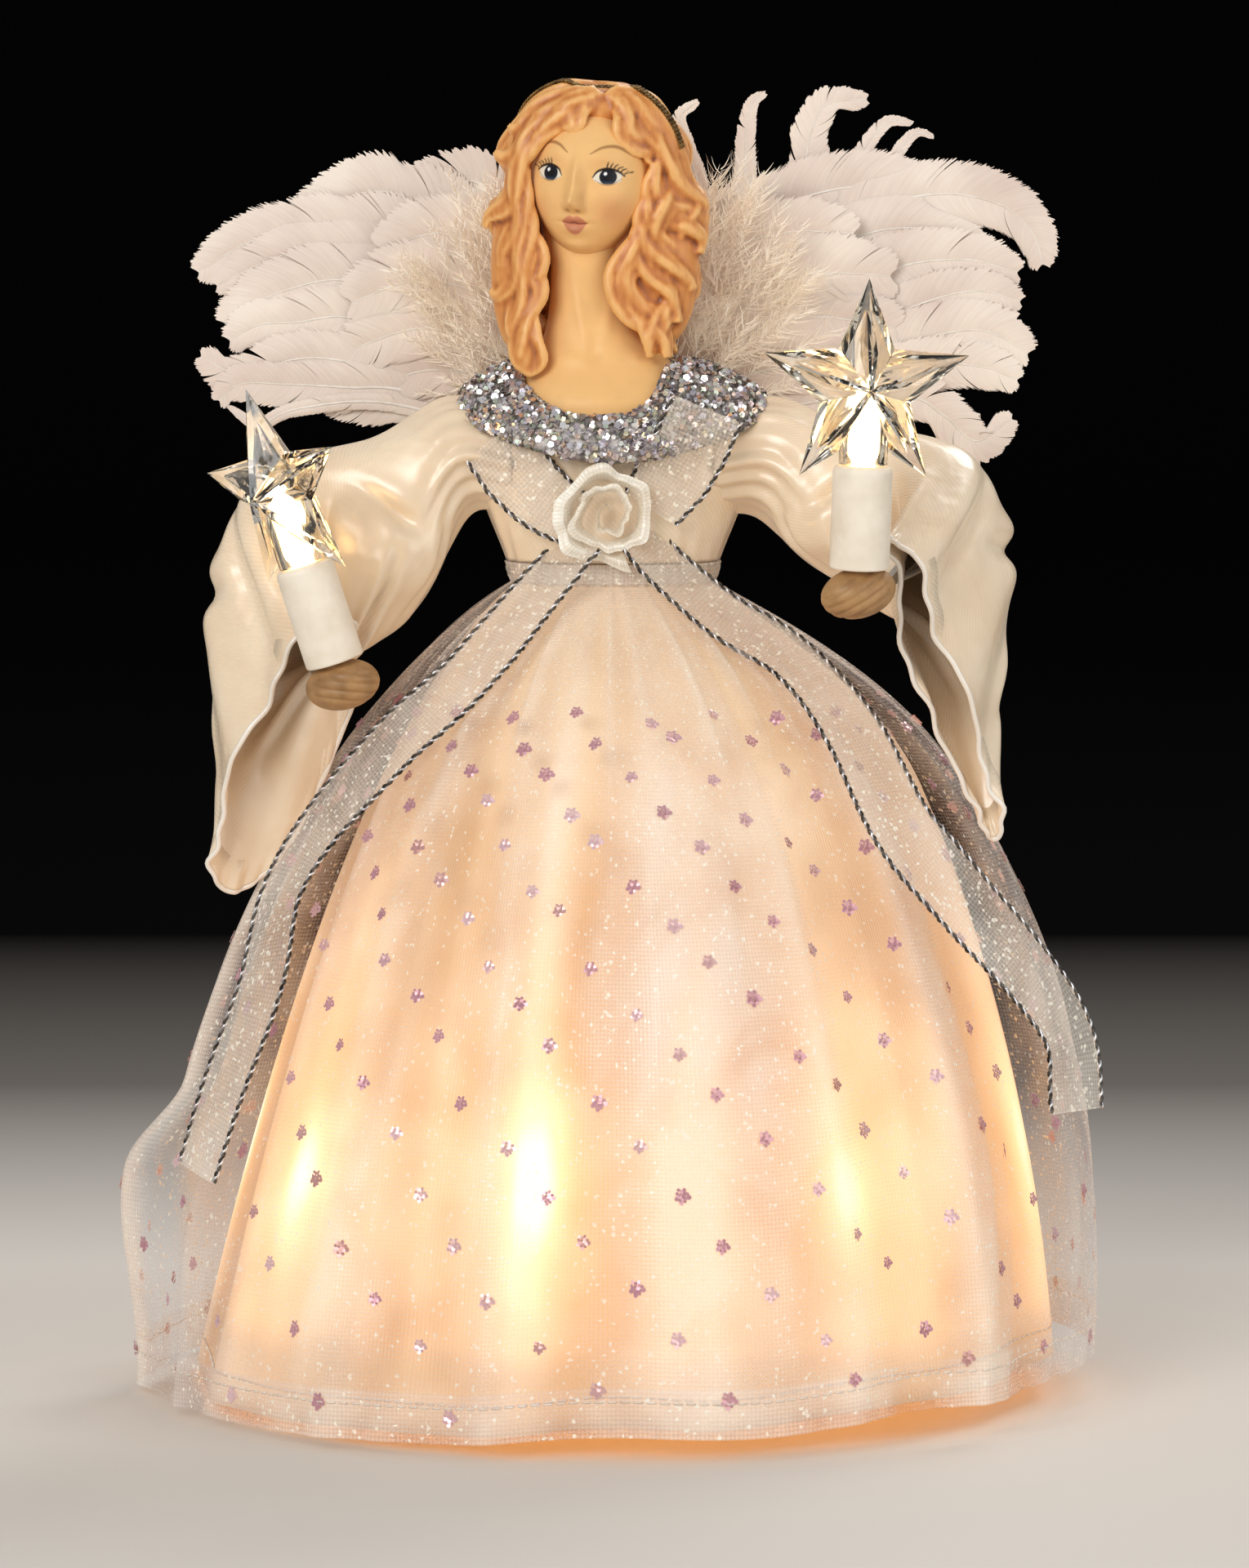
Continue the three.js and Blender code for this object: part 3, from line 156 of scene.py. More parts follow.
def grid_faces(rows, columns, closed, flip=False):
    r, c = np.meshgrid(np.arange(rows - 1), np.arange(columns if closed else columns - 1), indexing="ij")
    here, below, after = r * columns, (r + 1) * columns, (c + 1) % columns
    quads = np.stack([here + c, here + after, below + after, below + c], axis=-1).reshape(-1, 4)
    return quads[:, ::-1] if flip else quads


def pointed_faces(rows, sides):
    """Faces over rings of points and two end points that come after them."""
    faces = [tuple(f) for f in grid_faces(rows, sides, True)]
    first, last, ring = rows * sides, rows * sides + 1, (rows - 1) * sides
    for i in range(sides):
        j = (i + 1) % sides
        faces += [(first, j, i), (last, ring + i, ring + j)]
    return faces


def flat_ended_faces(rows, sides):
    """Faces over rings of points, with a flat face at each end."""
    faces = [tuple(f) for f in grid_faces(rows, sides, True)]
    return faces + [tuple(range(sides))[::-1], tuple(range((rows - 1) * sides, rows * sides))]


def added(name, data):
    made = bpy.data.objects.new(name, data)
    bpy.context.scene.collection.objects.link(made)
    return made


def mark(mesh, name, values, kind="FLOAT"):
    """Keeps values on the points of a mesh as a named attribute."""
    field = {"FLOAT": "value", "FLOAT_VECTOR": "vector", "FLOAT_COLOR": "color"}[kind]
    held = mesh.attributes.new(name, kind, "POINT")
    held.data.foreach_set(field, np.asarray(values, np.float32).ravel())


def read(items, field, width, kind=float):
    """The values of a field over the points or the edges of a mesh, one row for each."""
    values = np.empty(len(items) * width, kind)
    items.foreach_get(field, values)
    return values.reshape(-1, width)


def make_piece(name, points, faces, material, uvs=None, smooth=True):
    """A mesh piece from points in millimetres."""
    mesh = bpy.data.meshes.new(name)
    mesh.from_pydata((np.asarray(points, float) * MM).tolist(), [], [list(map(int, f)) for f in faces])
    if uvs is not None:
        layer = mesh.uv_layers.new(name="cut")
        layer.data.foreach_set("uv", np.asarray(uvs, np.float32).ravel())
    if smooth:
        mesh.shade_smooth()
    else:
        mesh.shade_flat()
    if material is not None:
        mesh.materials.append(material)
    return added(name, mesh)


def cloth_piece(name, grid, material, closed=False, wall=0.0):
    """A piece of cloth over a grid of rows and columns. Its UV map is its cut, in metres.
    A wall makes a closed round into two layers with a rim."""
    rows, columns = grid.shape[:2]
    lap = np.concatenate([grid, grid[:, :1]], axis=1) if closed else grid
    steps = np.linalg.norm(np.diff(lap, axis=1), axis=2).max(axis=0)
    u = np.concatenate([[0], np.cumsum(steps)]) * MM
    v = np.concatenate([[0], np.cumsum(np.linalg.norm(np.diff(grid, axis=0), axis=2).mean(axis=1))]) * MM
    faces = grid_faces(rows, columns, closed)
    r, c = np.meshgrid(np.arange(rows - 1), np.arange(len(u) - 1), indexing="ij")
    corners = [np.stack([u[c + i], v[r + j]], -1) for i, j in ((0, 0), (1, 0), (1, 1), (0, 1))]
    uvs = np.stack(corners, axis=2).reshape(-1, 4, 2)
    points = grid.reshape(-1, 3)
    if wall:
        inner = points - grid_normals(grid, closed).reshape(-1, 3) * wall
        count = rows * columns
        layers = [faces, faces[:, ::-1] + count]
        layer_uvs = [uvs, uvs[:, ::-1]]
        ends = np.arange(columns)
        for line, turn in ((ends, False), ((rows - 1) * columns + ends, True)):
            after = np.roll(line, -1)
            rim = np.stack([line, line + count, after + count, after], axis=1)
            layers.append(rim[:, ::-1] if turn else rim)
            layer_uvs.append(np.zeros((len(rim), 4, 2)))
        points, faces, uvs = np.vstack([points, inner]), np.vstack(layers), np.concatenate(layer_uvs)
    return make_piece(name, points, faces, material, uvs.reshape(-1, 2))


def tube(line, radius, sides):
    """Points and faces of a closed tube along a line. The radius may change along it."""
    line = np.asarray(line, float)
    heading = way_along(line)
    side = np.cross(heading[0], [0.3, 0.2, 0.93])
    frames = []
    for step in heading:
        side = unit(side - step * np.dot(side, step))
        frames.append((side, np.cross(step, side)))
    turn = full_turn(sides)
    girth = np.broadcast_to(np.asarray(radius, float), (len(line),))
    rings = [p + g * (np.outer(np.cos(turn), a) + np.outer(np.sin(turn), b))
             for p, g, (a, b) in zip(line, girth, frames)]
    return np.vstack(rings), flat_ended_faces(len(line), sides)


def joined(parts):
    """Several lots of points and faces as one."""
    points, faces, start = [], [], 0
    for p, f in parts:
        points.append(p)
        faces += [tuple(int(i) + start for i in face) for face in f]
        start += len(p)
    return np.vstack(points), faces


def turned(profile, sides):
    """Points and faces of a shape turned about Z from radius and height pairs; both ends lie on the axis."""
    profile = np.asarray(profile, float)
    rings = [polar(full_turn(sides), r, z) for r, z in profile[1:-1]]
    ends = [[[0, 0, profile[0][1]]], [[0, 0, profile[-1][1]]]]
    return np.vstack(rings + ends), pointed_faces(len(rings), sides)


def rounded(profile, radius):
    """A radius and height line with its inner corners rounded."""
    profile = [np.asarray(p, float) for p in profile]
    line = [profile[0]]
    for before, corner, after in zip(profile, profile[1:], profile[2:]):
        a, b = (corner + unit(e - corner) * min(radius, 0.45 * np.linalg.norm(e - corner))
                for e in (before, after))
        line += [(1 - t) ** 2 * a + 2 * t * (1 - t) * corner + t ** 2 * b for t in np.linspace(0, 1, 4)]
    return np.array(line + [profile[-1]])


def placed(points, matrix):
    return np.asarray(points, float) @ np.array(matrix.to_3x3()).T + np.array(matrix.translation)


def polar(angle, radius, height):
    return np.stack(np.broadcast_arrays(radius * np.cos(angle), radius * np.sin(angle), height), axis=-1)


def soften(piece, angle):
    """Smooth shading that keeps edges sharper than the angle."""
    piece.data.shade_smooth()
    piece.data.set_sharp_from_angle(angle=math.radians(angle))
    return piece


def dress(piece, slot, *nodes, body=ROOT):
    """Rides a piece on its body and hides the CAD nodes that it stands for; its material slot is not used."""
    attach(piece, body)
    if nodes:
        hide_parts(*nodes)
    return piece


def settled(piece):
    """Keeps what a piece's modifiers make of it as its plain mesh."""
    piece.update_tag()
    bpy.context.view_layer.update()
    mesh = bpy.data.meshes.new_from_object(piece.evaluated_get(bpy.context.evaluated_depsgraph_get()))
    piece.modifiers.clear()
    piece.data = mesh
    return mesh


def baked(piece, tree, **values):
    """Runs a node tree on a piece."""
    made = piece.modifiers.new("made", "NODES")
    made.node_group = tree
    for item in tree.interface.items_tree:
        if item.in_out == "INPUT" and item.name in values:
            made[item.identifier] = values[item.name]
    settled(piece)
    return piece


def node_tree(name, **inputs):
    """A geometry node tree with a geometry input and output, and named inputs with their kind of socket."""
    tree = bpy.data.node_groups.new(name, "GeometryNodeTree")
    tree.interface.new_socket("Geometry", in_out="INPUT", socket_type="NodeSocketGeometry")
    tree.interface.new_socket("Geometry", in_out="OUTPUT", socket_type="NodeSocketGeometry")
    for label, kind in inputs.items():
        tree.interface.new_socket(label, in_out="INPUT", socket_type="NodeSocket" + kind)
    add = partial(put, tree)
    return tree, add, add("NodeGroupInput", out=None)


def end_tree(add, given, geometry):
    """Ends a node tree with plain geometry in the material that it is given."""
    whole = add("GeometryNodeRealizeInstances", [geometry])
    clad = add("GeometryNodeSetMaterial", {"Geometry": whole, "Material": given["Material"]})
    add("NodeGroupOutput", [clad], out=None)


def tinted(add, given, copies):
    """Gives each copy its own random tint between 0 and 1."""
    chance = add("FunctionNodeRandomValue", {"Seed": given["Seed"]}, out=1, data_type="FLOAT")
    return add("GeometryNodeStoreNamedAttribute", {"Geometry": copies, "Name": "tint", "Value": chance},
               data_type="FLOAT", domain="INSTANCE")


def strand_sweeper():
    """Sweeps a round section along lines of points; the attribute girth gives the radius."""
    tree, add, given = node_tree("strand_sweeper", Sides="Int", Material="Material")
    lines = add("GeometryNodeMeshToCurve", {"Mesh": given["Geometry"]})
    section = add("GeometryNodeCurvePrimitiveCircle", {"Resolution": given["Sides"], "Radius": 1.0})
    girth = add("GeometryNodeInputNamedAttribute", {"Name": "girth"}, data_type="FLOAT")
    swept = add("GeometryNodeCurveToMesh", {"Curve": lines, "Profile Curve": section, "Scale": girth,
                                                  "Fill Caps": True})
    end_tree(add, given, swept)
    return tree


def pattern_repeater():
    """Repeats a small shape at points; facing turns its Z, heading its X, and size scales it."""
    tree, add, given = node_tree("pattern_repeater", Shape="Object", Seed="Int", Material="Material")
    facing, heading, size = (
        add("GeometryNodeInputNamedAttribute", {"Name": name}, data_type=kind)
        for name, kind in (("facing", "FLOAT_VECTOR"), ("heading", "FLOAT_VECTOR"), ("size", "FLOAT")))
    upright = add("FunctionNodeAlignRotationToVector", {"Vector": facing}, axis="Z")
    aimed = add("FunctionNodeAlignRotationToVector", {"Rotation": upright, "Vector": heading},
                axis="X", pivot_axis="Z")
    shape = add("GeometryNodeObjectInfo", {"Object": given["Shape"], "As Instance": True}, out="Geometry")
    copies = add("GeometryNodeInstanceOnPoints", {"Points": given["Geometry"], "Instance": shape,
                                                       "Rotation": aimed, "Scale": size})
    end_tree(add, given, tinted(add, given, copies))
    return tree


def glitter_scatter():
    """Scatters five-sided flakes over a surface, each at a random lean. The surface itself is left out."""
    tree, add, given = node_tree("glitter_scatter", Density="Float", Flake="Float", Seed="Int",
                                 Material="Material")
    seed = given["Seed"]
    strewn = add("GeometryNodeDistributePointsOnFaces",
                 {"Mesh": given["Geometry"], "Density": given["Density"], "Seed": seed}, out=None)
    flake = add("GeometryNodeMeshCircle", {"Vertices": 5, "Radius": given["Flake"]}, fill_type="NGON")
    lean = add("FunctionNodeRandomValue", {"Min": (-0.9, -0.9, -3.1), "Max": (0.9, 0.9, 3.1), "Seed": seed},
               data_type="FLOAT_VECTOR")
    tilted = add("FunctionNodeRotateRotation", {"Rotation": strewn["Rotation"], "Rotate By": lean},
                 rotation_space="LOCAL")
    girth = add("FunctionNodeRandomValue", {2: 0.55, 3: 1.25, "Seed": seed}, out=1, data_type="FLOAT")
    copies = add("GeometryNodeInstanceOnPoints", {"Points": strewn["Points"], "Instance": flake,
                                                       "Rotation": tilted, "Scale": girth})
    end_tree(add, given, tinted(add, given, copies))
    return tree


SWEEPER = strand_sweeper()
REPEATER = pattern_repeater()
SCATTER = glitter_scatter()


def strands(name, lines, girths, material, sides=6):
    """Round strands along lines in millimetres, each with its radius."""
    edges, start = [], 0
    for line in lines:
        edges += [(start + i, start + i + 1) for i in range(len(line) - 1)]
        start += len(line)
    mesh = bpy.data.meshes.new(name)
    mesh.from_pydata((np.vstack(lines) * MM).tolist(), edges, [])
    spread = [np.broadcast_to(np.asarray(g, float), (len(line),)) for g, line in zip(girths, lines)]
    mark(mesh, "girth", np.concatenate(spread) * MM)
    piece = baked(added(name, mesh), SWEEPER, Sides=sides, Material=material)
    piece.data.shade_smooth()
    return piece


def repeated(name, shape, places, facing, heading, size, material, seed):
    """Copies of a small shape, given as points and faces about the origin, at places in millimetres."""
    pattern = make_piece(name + "_pattern", *shape, None)
    mesh = bpy.data.meshes.new(name)
    mesh.from_pydata((np.asarray(places) * MM).tolist(), [], [])
    mark(mesh, "facing", facing, "FLOAT_VECTOR")
    mark(mesh, "heading", heading, "FLOAT_VECTOR")
    mark(mesh, "size", np.broadcast_to(size, (len(places),)))
    piece = baked(added(name, mesh), REPEATER, Shape=pattern, Seed=seed, Material=material)
    bpy.data.objects.remove(pattern)
    return piece


# Materials

def shader_input(made, key):
    return made.node_tree.nodes["Principled BSDF"].inputs[key.replace("_", " ")]


def new_material(name, **constants):
    """A material with fixed values on its shader, and the adder of its nodes."""
    made = bpy.data.materials.new(name)
    made.use_nodes = True
    for key, value in constants.items():
        shader_input(made, key).default_value = value
    return made, partial(put, made.node_tree)


def fed(made, **links):
    """The material, with outputs of its nodes linked to its shader."""
    for key, socket in links.items():
        made.node_tree.links.new(socket, shader_input(made, key))
    return made


def grained(add, pattern, low, high, lift, depth):
    """Roughness between two values and a raised grain, both by one pattern."""
    return {"Roughness": add("MapRange", {"Value": pattern, "To Min": low, "To Max": high}),
            "Normal": add("Bump", {"Height": pattern, "Strength": lift, "Distance": depth})}


def wave_scale(spacing):
    """The scale of a wave texture for a spacing in millimetres: at scale 1 it repeats every 0.314 units."""
    return 0.314 / (spacing * MM)


def satin(name, light, dark, crease):
    """Woven polyester satin: long floats give a smooth face with a broad bright gleam and a faint twill line.
    The twill is drawn at 0.6 mm, coarser than the real thread, so that it shows."""
    made, add = new_material(name, Sheen_Weight=0.2, Sheen_Roughness=0.3, Specular_IOR_Level=0.9,
                             Coat_Weight=0.25, Coat_Roughness=0.22)
    cut = add("UVMap", uv_map="cut")
    place = add("TexCoord", out="Object")
    twill = add("TexWave", {"Vector": cut, "Scale": wave_scale(0.6), "Distortion": 1.0, "Detail Scale": 2.0},
                out="Fac", bands_direction="DIAGONAL")
    cloudy = add("TexNoise", {"Vector": place, "Scale": 70.0, "Detail": 3.0})
    creases = add("TexNoise", {"Vector": place, "Scale": 110.0, "Detail": 2.0, "Distortion": 0.4})
    tone = add("ValToRGB", [cloudy], [(0.3, dark), (0.62, light)])
    rough = add("MapRange", {"Value": twill, "To Min": 0.27, "To Max": 0.30})
    folded = add("Bump", {"Height": creases, "Strength": crease, "Distance": 0.003})
    woven = add("Bump", {"Height": twill, "Strength": 0.008, "Distance": 0.0002, "Normal": folded})
    return fed(made, Base_Color=tone, Roughness=rough, Normal=woven)


SKIRT_LAMPS, LAMP_LEVEL = 8, 0.047
# How tall a share of the painted glow is, how narrow, and its strength: the wash, the pools and the cores
PAINTED_LAMP_GLOW = ((0.085, 0.0, 0.46), (0.036, 0.6, 0.42), (0.012, 5.0, 0.34))


def painted_glow_lining():
    """Thin ivory lining with lamps behind it. Their light through it is a painted glow: a warm wash over the
    bell, a soft pool round each of the eight lamps and a small hot core in front of it; painted shade darkens
    the hollows of its folds."""
    made, add = new_material("thin_lining_satin_painted_glow", Roughness=0.5, Sheen_Weight=0.2, Emission_Strength=0.9)
    place = add("TexCoord", out="Object")
    x, y, z = add("SeparateXYZ", [place], out=None)
    turn = add("Math", [y, x], operation="ARCTAN2")
    # The first lamp is 10 degrees to the left of the front
    phase = add("Math", [turn, float(SKIRT_LAMPS), math.radians(80)], operation="MULTIPLY_ADD")
    facing = add("Math", [phase], operation="COSINE")
    whole = 0.0
    for tall, narrow, strength in PAINTED_LAMP_GLOW:
        high = add("MapRange", {"Value": z, "From Min": LAMP_LEVEL, "From Max": LAMP_LEVEL + tall},
                   clamp=False)
        squared = add("Math", [high, high], operation="MULTIPLY")
        aside = add("Math", [facing, narrow, -narrow], operation="MULTIPLY_ADD")
        drop = add("Math", [aside, squared], operation="SUBTRACT")
        glow = add("Math", [drop], operation="EXPONENT")
        whole = add("Math", [glow, strength, whole], operation="MULTIPLY_ADD")
    patchy = add("TexNoise", {"Vector": place, "Scale": 30.0, "Detail": 2.0})
    uneven = add("MapRange", {"Value": patchy, "From Min": 0.3, "From Max": 0.7, "To Min": 0.85,
                              "To Max": 1.08})
    # The hem is double, so the painted glow is dimmer near the foot
    hem = add("MapRange", {"Value": z, "From Min": 0.013, "From Max": 0.019, "To Min": 0.55})
    # Painted shade: the glow is dimmer in the hollows of the folds and brighter on their crests
    fold = add("Attribute", attribute_name="fold")
    painted_fold_shade = add("MapRange", {"Value": fold, "From Min": -1.0, "To Min": 0.55, "To Max": 1.14})
    for share in (uneven, painted_fold_shade, hem):
        whole = add("Math", [whole, share], operation="MULTIPLY")
    # The colour of the painted glow, from dim to near white
    warm = add("ValToRGB", [whole], [(0.0, "#1c120b"), (0.3, "#835230"), (0.6, "#cc8e50"),
                                     (0.82, "#edbc7a"), (1.0, "#fff2d2")])
    cut = add("UVMap", uv_map="cut")
    weave = add("TexWave", {"Vector": cut, "Scale": wave_scale(0.9), "Distortion": 0.8},
                bands_direction="X")
    # Painted shade: the cloth is darker in the hollows of the folds and lighter on their crests, and uneven
    # at random
    laid = add("Math", [fold, 0.4, patchy], operation="MULTIPLY_ADD")
    tone = add("ValToRGB", [laid], [(0.2, "#e2bd92"), (0.55, "#f7e0be"), (0.8, "#fceeda")])
    woven = add("Bump", {"Height": weave, "Strength": 0.15, "Distance": 0.0002})
    return fed(made, Emission_Color=warm, Base_Color=tone, Normal=woven)


def organza(name, tone, shade, clear, hem=None, gleam=0.965):
    """Organza, a stiff sheer plain weave of bright thread: mostly open, with a fine criss-cross, painted
    glints, painted light on the crests of its folds and a silky sheen. The threads are drawn at 0.8 mm,
    coarser than they are, so that they show."""
    made, add = new_material(name, Roughness=0.34, Sheen_Weight=0.7, Sheen_Roughness=0.28,
                             Specular_IOR_Level=0.8)
    cut = add("UVMap", uv_map="cut")
    warp, weft = (add("TexWave", {"Vector": cut, "Scale": wave_scale(0.8), "Distortion": 1.4, "Detail": 1.0,
                                        "Detail Scale": 1.5}, bands_direction=d) for d in ("X", "Y"))
    threads = add("Math", [warp, weft], operation="ADD")
    # Painted glints: a few random cells of the weave are near white and more opaque
    cells = add("TexVoronoi", {"Vector": cut, "Scale": 1 / (0.6 * MM)}, out="Color")
    chance = add("SeparateColor", [cells])
    painted_glint = add("Math", [chance, gleam], operation="GREATER_THAN")
    shimmer = add("TexNoise", {"Vector": cut, "Scale": 55.0, "Detail": 3.0, "Distortion": 0.8})
    open_weave = add("MapRange", {"Value": threads, "From Min": 0.2, "From Max": 1.8, "To Min": clear - 0.1,
                                        "To Max": clear + 0.12})
    lively = add("MapRange", {"Value": shimmer, "From Min": 0.35, "From Max": 0.7, "To Min": -0.06,
                                    "To Max": 0.1})
    cover = add("Math", [open_weave, lively], operation="ADD")
    # Painted highlight: the crests of the folds hide more of what lies under them, as if they caught the
    # light
    fold = add("Attribute", attribute_name="fold")
    cover = add("Math", [fold, 0.34, cover], operation="MULTIPLY_ADD")
    if hem is not None:
        along = add("SeparateXYZ", [cut], out="Y")
        turned_up = add("Math", [along, hem], operation="LESS_THAN")
        cover = add("Math", [turned_up, 0.2, cover], operation="MULTIPLY_ADD")
    whole = add("Math", [painted_glint, 0.45, cover], operation="MULTIPLY_ADD", use_clamp=True)
    # Painted highlight and shade: the colour is lighter on the crests of the folds and darker in their
    # hollows
    painted_crest_light = add("Math", [fold, 0.3, shimmer], operation="MULTIPLY_ADD")
    cloth = add("ValToRGB", [painted_crest_light], [(0.3, shade), (0.65, tone)])
    bright = add("Mix", {0: painted_glint, 6: cloth, 7: colour("#fff6e4")}, out=2, data_type="RGBA")
    woven = add("Bump", {"Height": threads, "Strength": 0.2, "Distance": 0.0003})
    return fed(made, Alpha=whole, Base_Color=bright, Normal=woven)


def glitter(name, metal, *stops):
    """Cut metallised film: flat mirror-like flakes, each with its own tint."""
    made, add = new_material(name, Metallic=metal, Specular_IOR_Level=0.9)
    tone = add("ValToRGB", [add("Attribute", attribute_name="tint")], stops)
    place = add("TexCoord", out="Object")
    worn = add("TexNoise", {"Vector": place, "Scale": 1500.0})
    rough = add("MapRange", {"Value": worn, "To Min": 0.1, "To Max": 0.38})
    return fed(made, Base_Color=tone, Roughness=rough)


def moulded(name, light, dark, grain, rough=0.45, lift=0.1, **constants):
    """A moulded, dipped or painted surface: slightly uneven colour, with a fine grain in millimetres."""
    made, add = new_material(name, **constants)
    place = add("TexCoord", out="Object")
    cloudy = add("TexNoise", {"Vector": place, "Scale": 1 / (12 * grain * MM), "Detail": 4.0})
    fine = add("TexNoise", {"Vector": place, "Scale": 1 / (grain * MM), "Detail": 2.0})
    tone = add("ValToRGB", [cloudy], [(0.32, dark), (0.62, light)])
    gloss = add("MapRange", {"Value": cloudy, "To Min": rough - 0.08, "To Max": rough + 0.1})
    raised = add("Bump", {"Height": fine, "Strength": lift, "Distance": 0.0002})
    return fed(made, Base_Color=tone, Roughness=gloss, Normal=raised)


def painted_skin():
    """Hand-painted resin: eggshell skin, with the brushed features, and some painted shade and highlights, in
    the piece's own paint attribute.
    """
    made, add = new_material("painted_resin_skin", Coat_Weight=0.03, Coat_Roughness=0.3,
                             Specular_IOR_Level=0.25, Subsurface_Weight=0.06,
                             Subsurface_Radius=(0.004, 0.002, 0.001))
    paint = add("Attribute", out="Color", attribute_name="paint")
    place = add("TexCoord", out="Object")
    brush = add("TexNoise", {"Vector": place, "Scale": 260.0, "Detail": 3.0})
    mottle = add("MapRange", {"Value": brush, "To Min": 0.9, "To Max": 1.06})
    toned = add("VectorMath", {0: paint, "Scale": mottle}, operation="SCALE")
    return fed(made, Base_Color=toned, **grained(add, brush, 0.34, 0.5, 0.06, 0.0003))


def painted_hair():
    """Moulded resin hair: a golden coat, with painted shade darkening the grooves between the locks."""
    made, add = new_material("painted_resin_hair", Coat_Weight=0.2, Coat_Roughness=0.3)
    groove = add("Attribute", attribute_name="groove")
    place = add("TexCoord", out="Object")
    long_way = add("Mapping", {"Vector": place, "Scale": (1.0, 1.0, 0.22)})
    streak = add("TexNoise", {"Vector": long_way, "Scale": 900.0, "Detail": 3.0})
    uneven = add("Math", [streak, 0.4, -0.2], operation="MULTIPLY_ADD")
    # Painted shade: the colour is darker where the grooves are deeper
    depth = add("Math", [groove, uneven], operation="ADD")
    gold = add("ValToRGB", [depth], [(0.12, "#84441a"), (0.42, "#bd7031"), (0.66, "#d98f48"),
                                     (0.95, "#efb56e")])
    return fed(made, Base_Color=gold, **grained(add, streak, 0.36, 0.55, 0.25, 0.0003))


def feather(name, light, shade):
    """White goose vane: fine barbs slant out from the shaft, matt and soft, frayed at the edge where they end
    at different lengths. The barbs are drawn at 0.45 mm, coarser than they are, so that they show."""
    made, add = new_material(name, Sheen_Weight=0.4, Sheen_Roughness=0.4, Roughness=0.65,
                             Specular_IOR_Level=0.3, Subsurface_Weight=0.2,
                             Subsurface_Radius=(0.004, 0.004, 0.004))
    cut = add("UVMap", uv_map="cut")
    combed = add("Mapping", {"Vector": cut, "Scale": (0.06, 1.0, 1.0)})
    barbs = add("TexNoise", {"Vector": combed, "Scale": 1 / (0.45 * MM), "Detail": 2.0})
    place = add("TexCoord", out="Object")
    soft = add("TexNoise", {"Vector": place, "Scale": 50.0, "Detail": 3.0})
    mixed = add("Math", [barbs, 0.35, soft], operation="MULTIPLY_ADD")
    tone = add("ValToRGB", [mixed], [(0.45, shade), (0.85, light)])
    raised = add("Bump", {"Height": barbs, "Strength": 0.2, "Distance": 0.0003})
    edge = add("Attribute", attribute_name="edge")
    ends = add("MapRange", {"Value": barbs, "From Min": 0.32, "From Max": 0.68, "To Min": 0.84,
                            "To Max": 1.03})
    kept = add("Math", [edge, ends], operation="LESS_THAN")
    return fed(made, Base_Color=tone, Normal=raised, Alpha=kept)


def clear_styrene():
    """Injection-moulded clear polystyrene: glassy, high index, with faint flow ripples."""
    made, add = new_material("clear_styrene", IOR=1.55, Transmission_Weight=1.0)
    place = add("TexCoord", out="Object")
    flow = add("TexNoise", {"Vector": place, "Scale": 220.0, "Detail": 2.0})
    tone = add("ValToRGB", [flow], [(0.3, "#fdf3df"), (0.7, "#fffdf8")])
    return fed(made, Base_Color=tone, **grained(add, flow, 0.02, 0.08, 0.12, 0.0006))


def lit_lamp():
    """A lit miniature lamp: the glass glows warm and a little unevenly."""
    made, add = new_material("lit_lamp_glass", Base_Color=colour("#fff0d2"), Roughness=0.12,
                             Emission_Strength=8.0)
    place = add("TexCoord", out="Object")
    swirl = add("TexNoise", {"Vector": place, "Scale": 300.0})
    tone = add("ValToRGB", [swirl], [(0.35, "#ffc46e"), (0.6, "#ffe2ad")])
    return fed(made, Emission_Color=tone)


SATIN = satin("ivory_satin", "#f5e0c2", "#e9cfae", 0.24)
CUFF_SATIN = satin("rolled_satin_edge", "#f8efe2", "#ecdfce", 0.1)
LINING = painted_glow_lining()
ORGANZA = organza("dotted_organza", "#fdf3e6", "#e6d6d2", 0.26, hem=0.009)
RIBBON = organza("ribbon_organza", "#fbf0e0", "#e6d6c6", 0.4, gleam=0.93)
ROSETTE = organza("rosette_organza", "#f8f1e2", "#e9dcc5", 0.86, gleam=0.985)
SILVER_THREAD = moulded("silver_metal_thread", "#f0f0f2", "#b9b8be", 0.15, 0.25, 0.3, Metallic=1.0)
DARK_THREAD = moulded("tarnished_metal_thread", "#6b665f", "#2b2825", 0.15, 0.35, 0.3, Metallic=1.0)
SEWING_THREAD = moulded("cotton_thread", "#efe6da", "#d8c9ba", 0.2, 0.8, 0.3)
COLLAR_FILM = glitter("iridescent_film", 0.8, (0.0, "#f4f2f4"), (0.25, "#cfc4d2"), (0.4, "#f0ece4"),
                      (0.55, "#c9d8c4"), (0.7, "#e8c9b4"), (0.85, "#b9b2c0"), (1.0, "#ffffff"))
DOT_FILM = glitter("rose_film", 0.3, (0.0, "#d9a3ac"), (0.4, "#c48c98"), (0.7, "#f0cdd0"), (1.0, "#cb948f"))
COLLAR_NET = moulded("metallised_net", "#b8b0ac", "#6d655f", 0.4, 0.4, 0.8, Metallic=0.5)
SKIN = painted_skin()
HAIR = painted_hair()
GILT = moulded("gilt_cord", "#8a6a3a", "#33220d", 0.2, 0.35, 0.4, Metallic=0.7)
VANE = feather("goose_feather", "#f5e8da", "#dfcbbf")
SHAFT = moulded("feather_shaft", "#f6efe6", "#e4d8ca", 0.3, 0.45, 0.1)
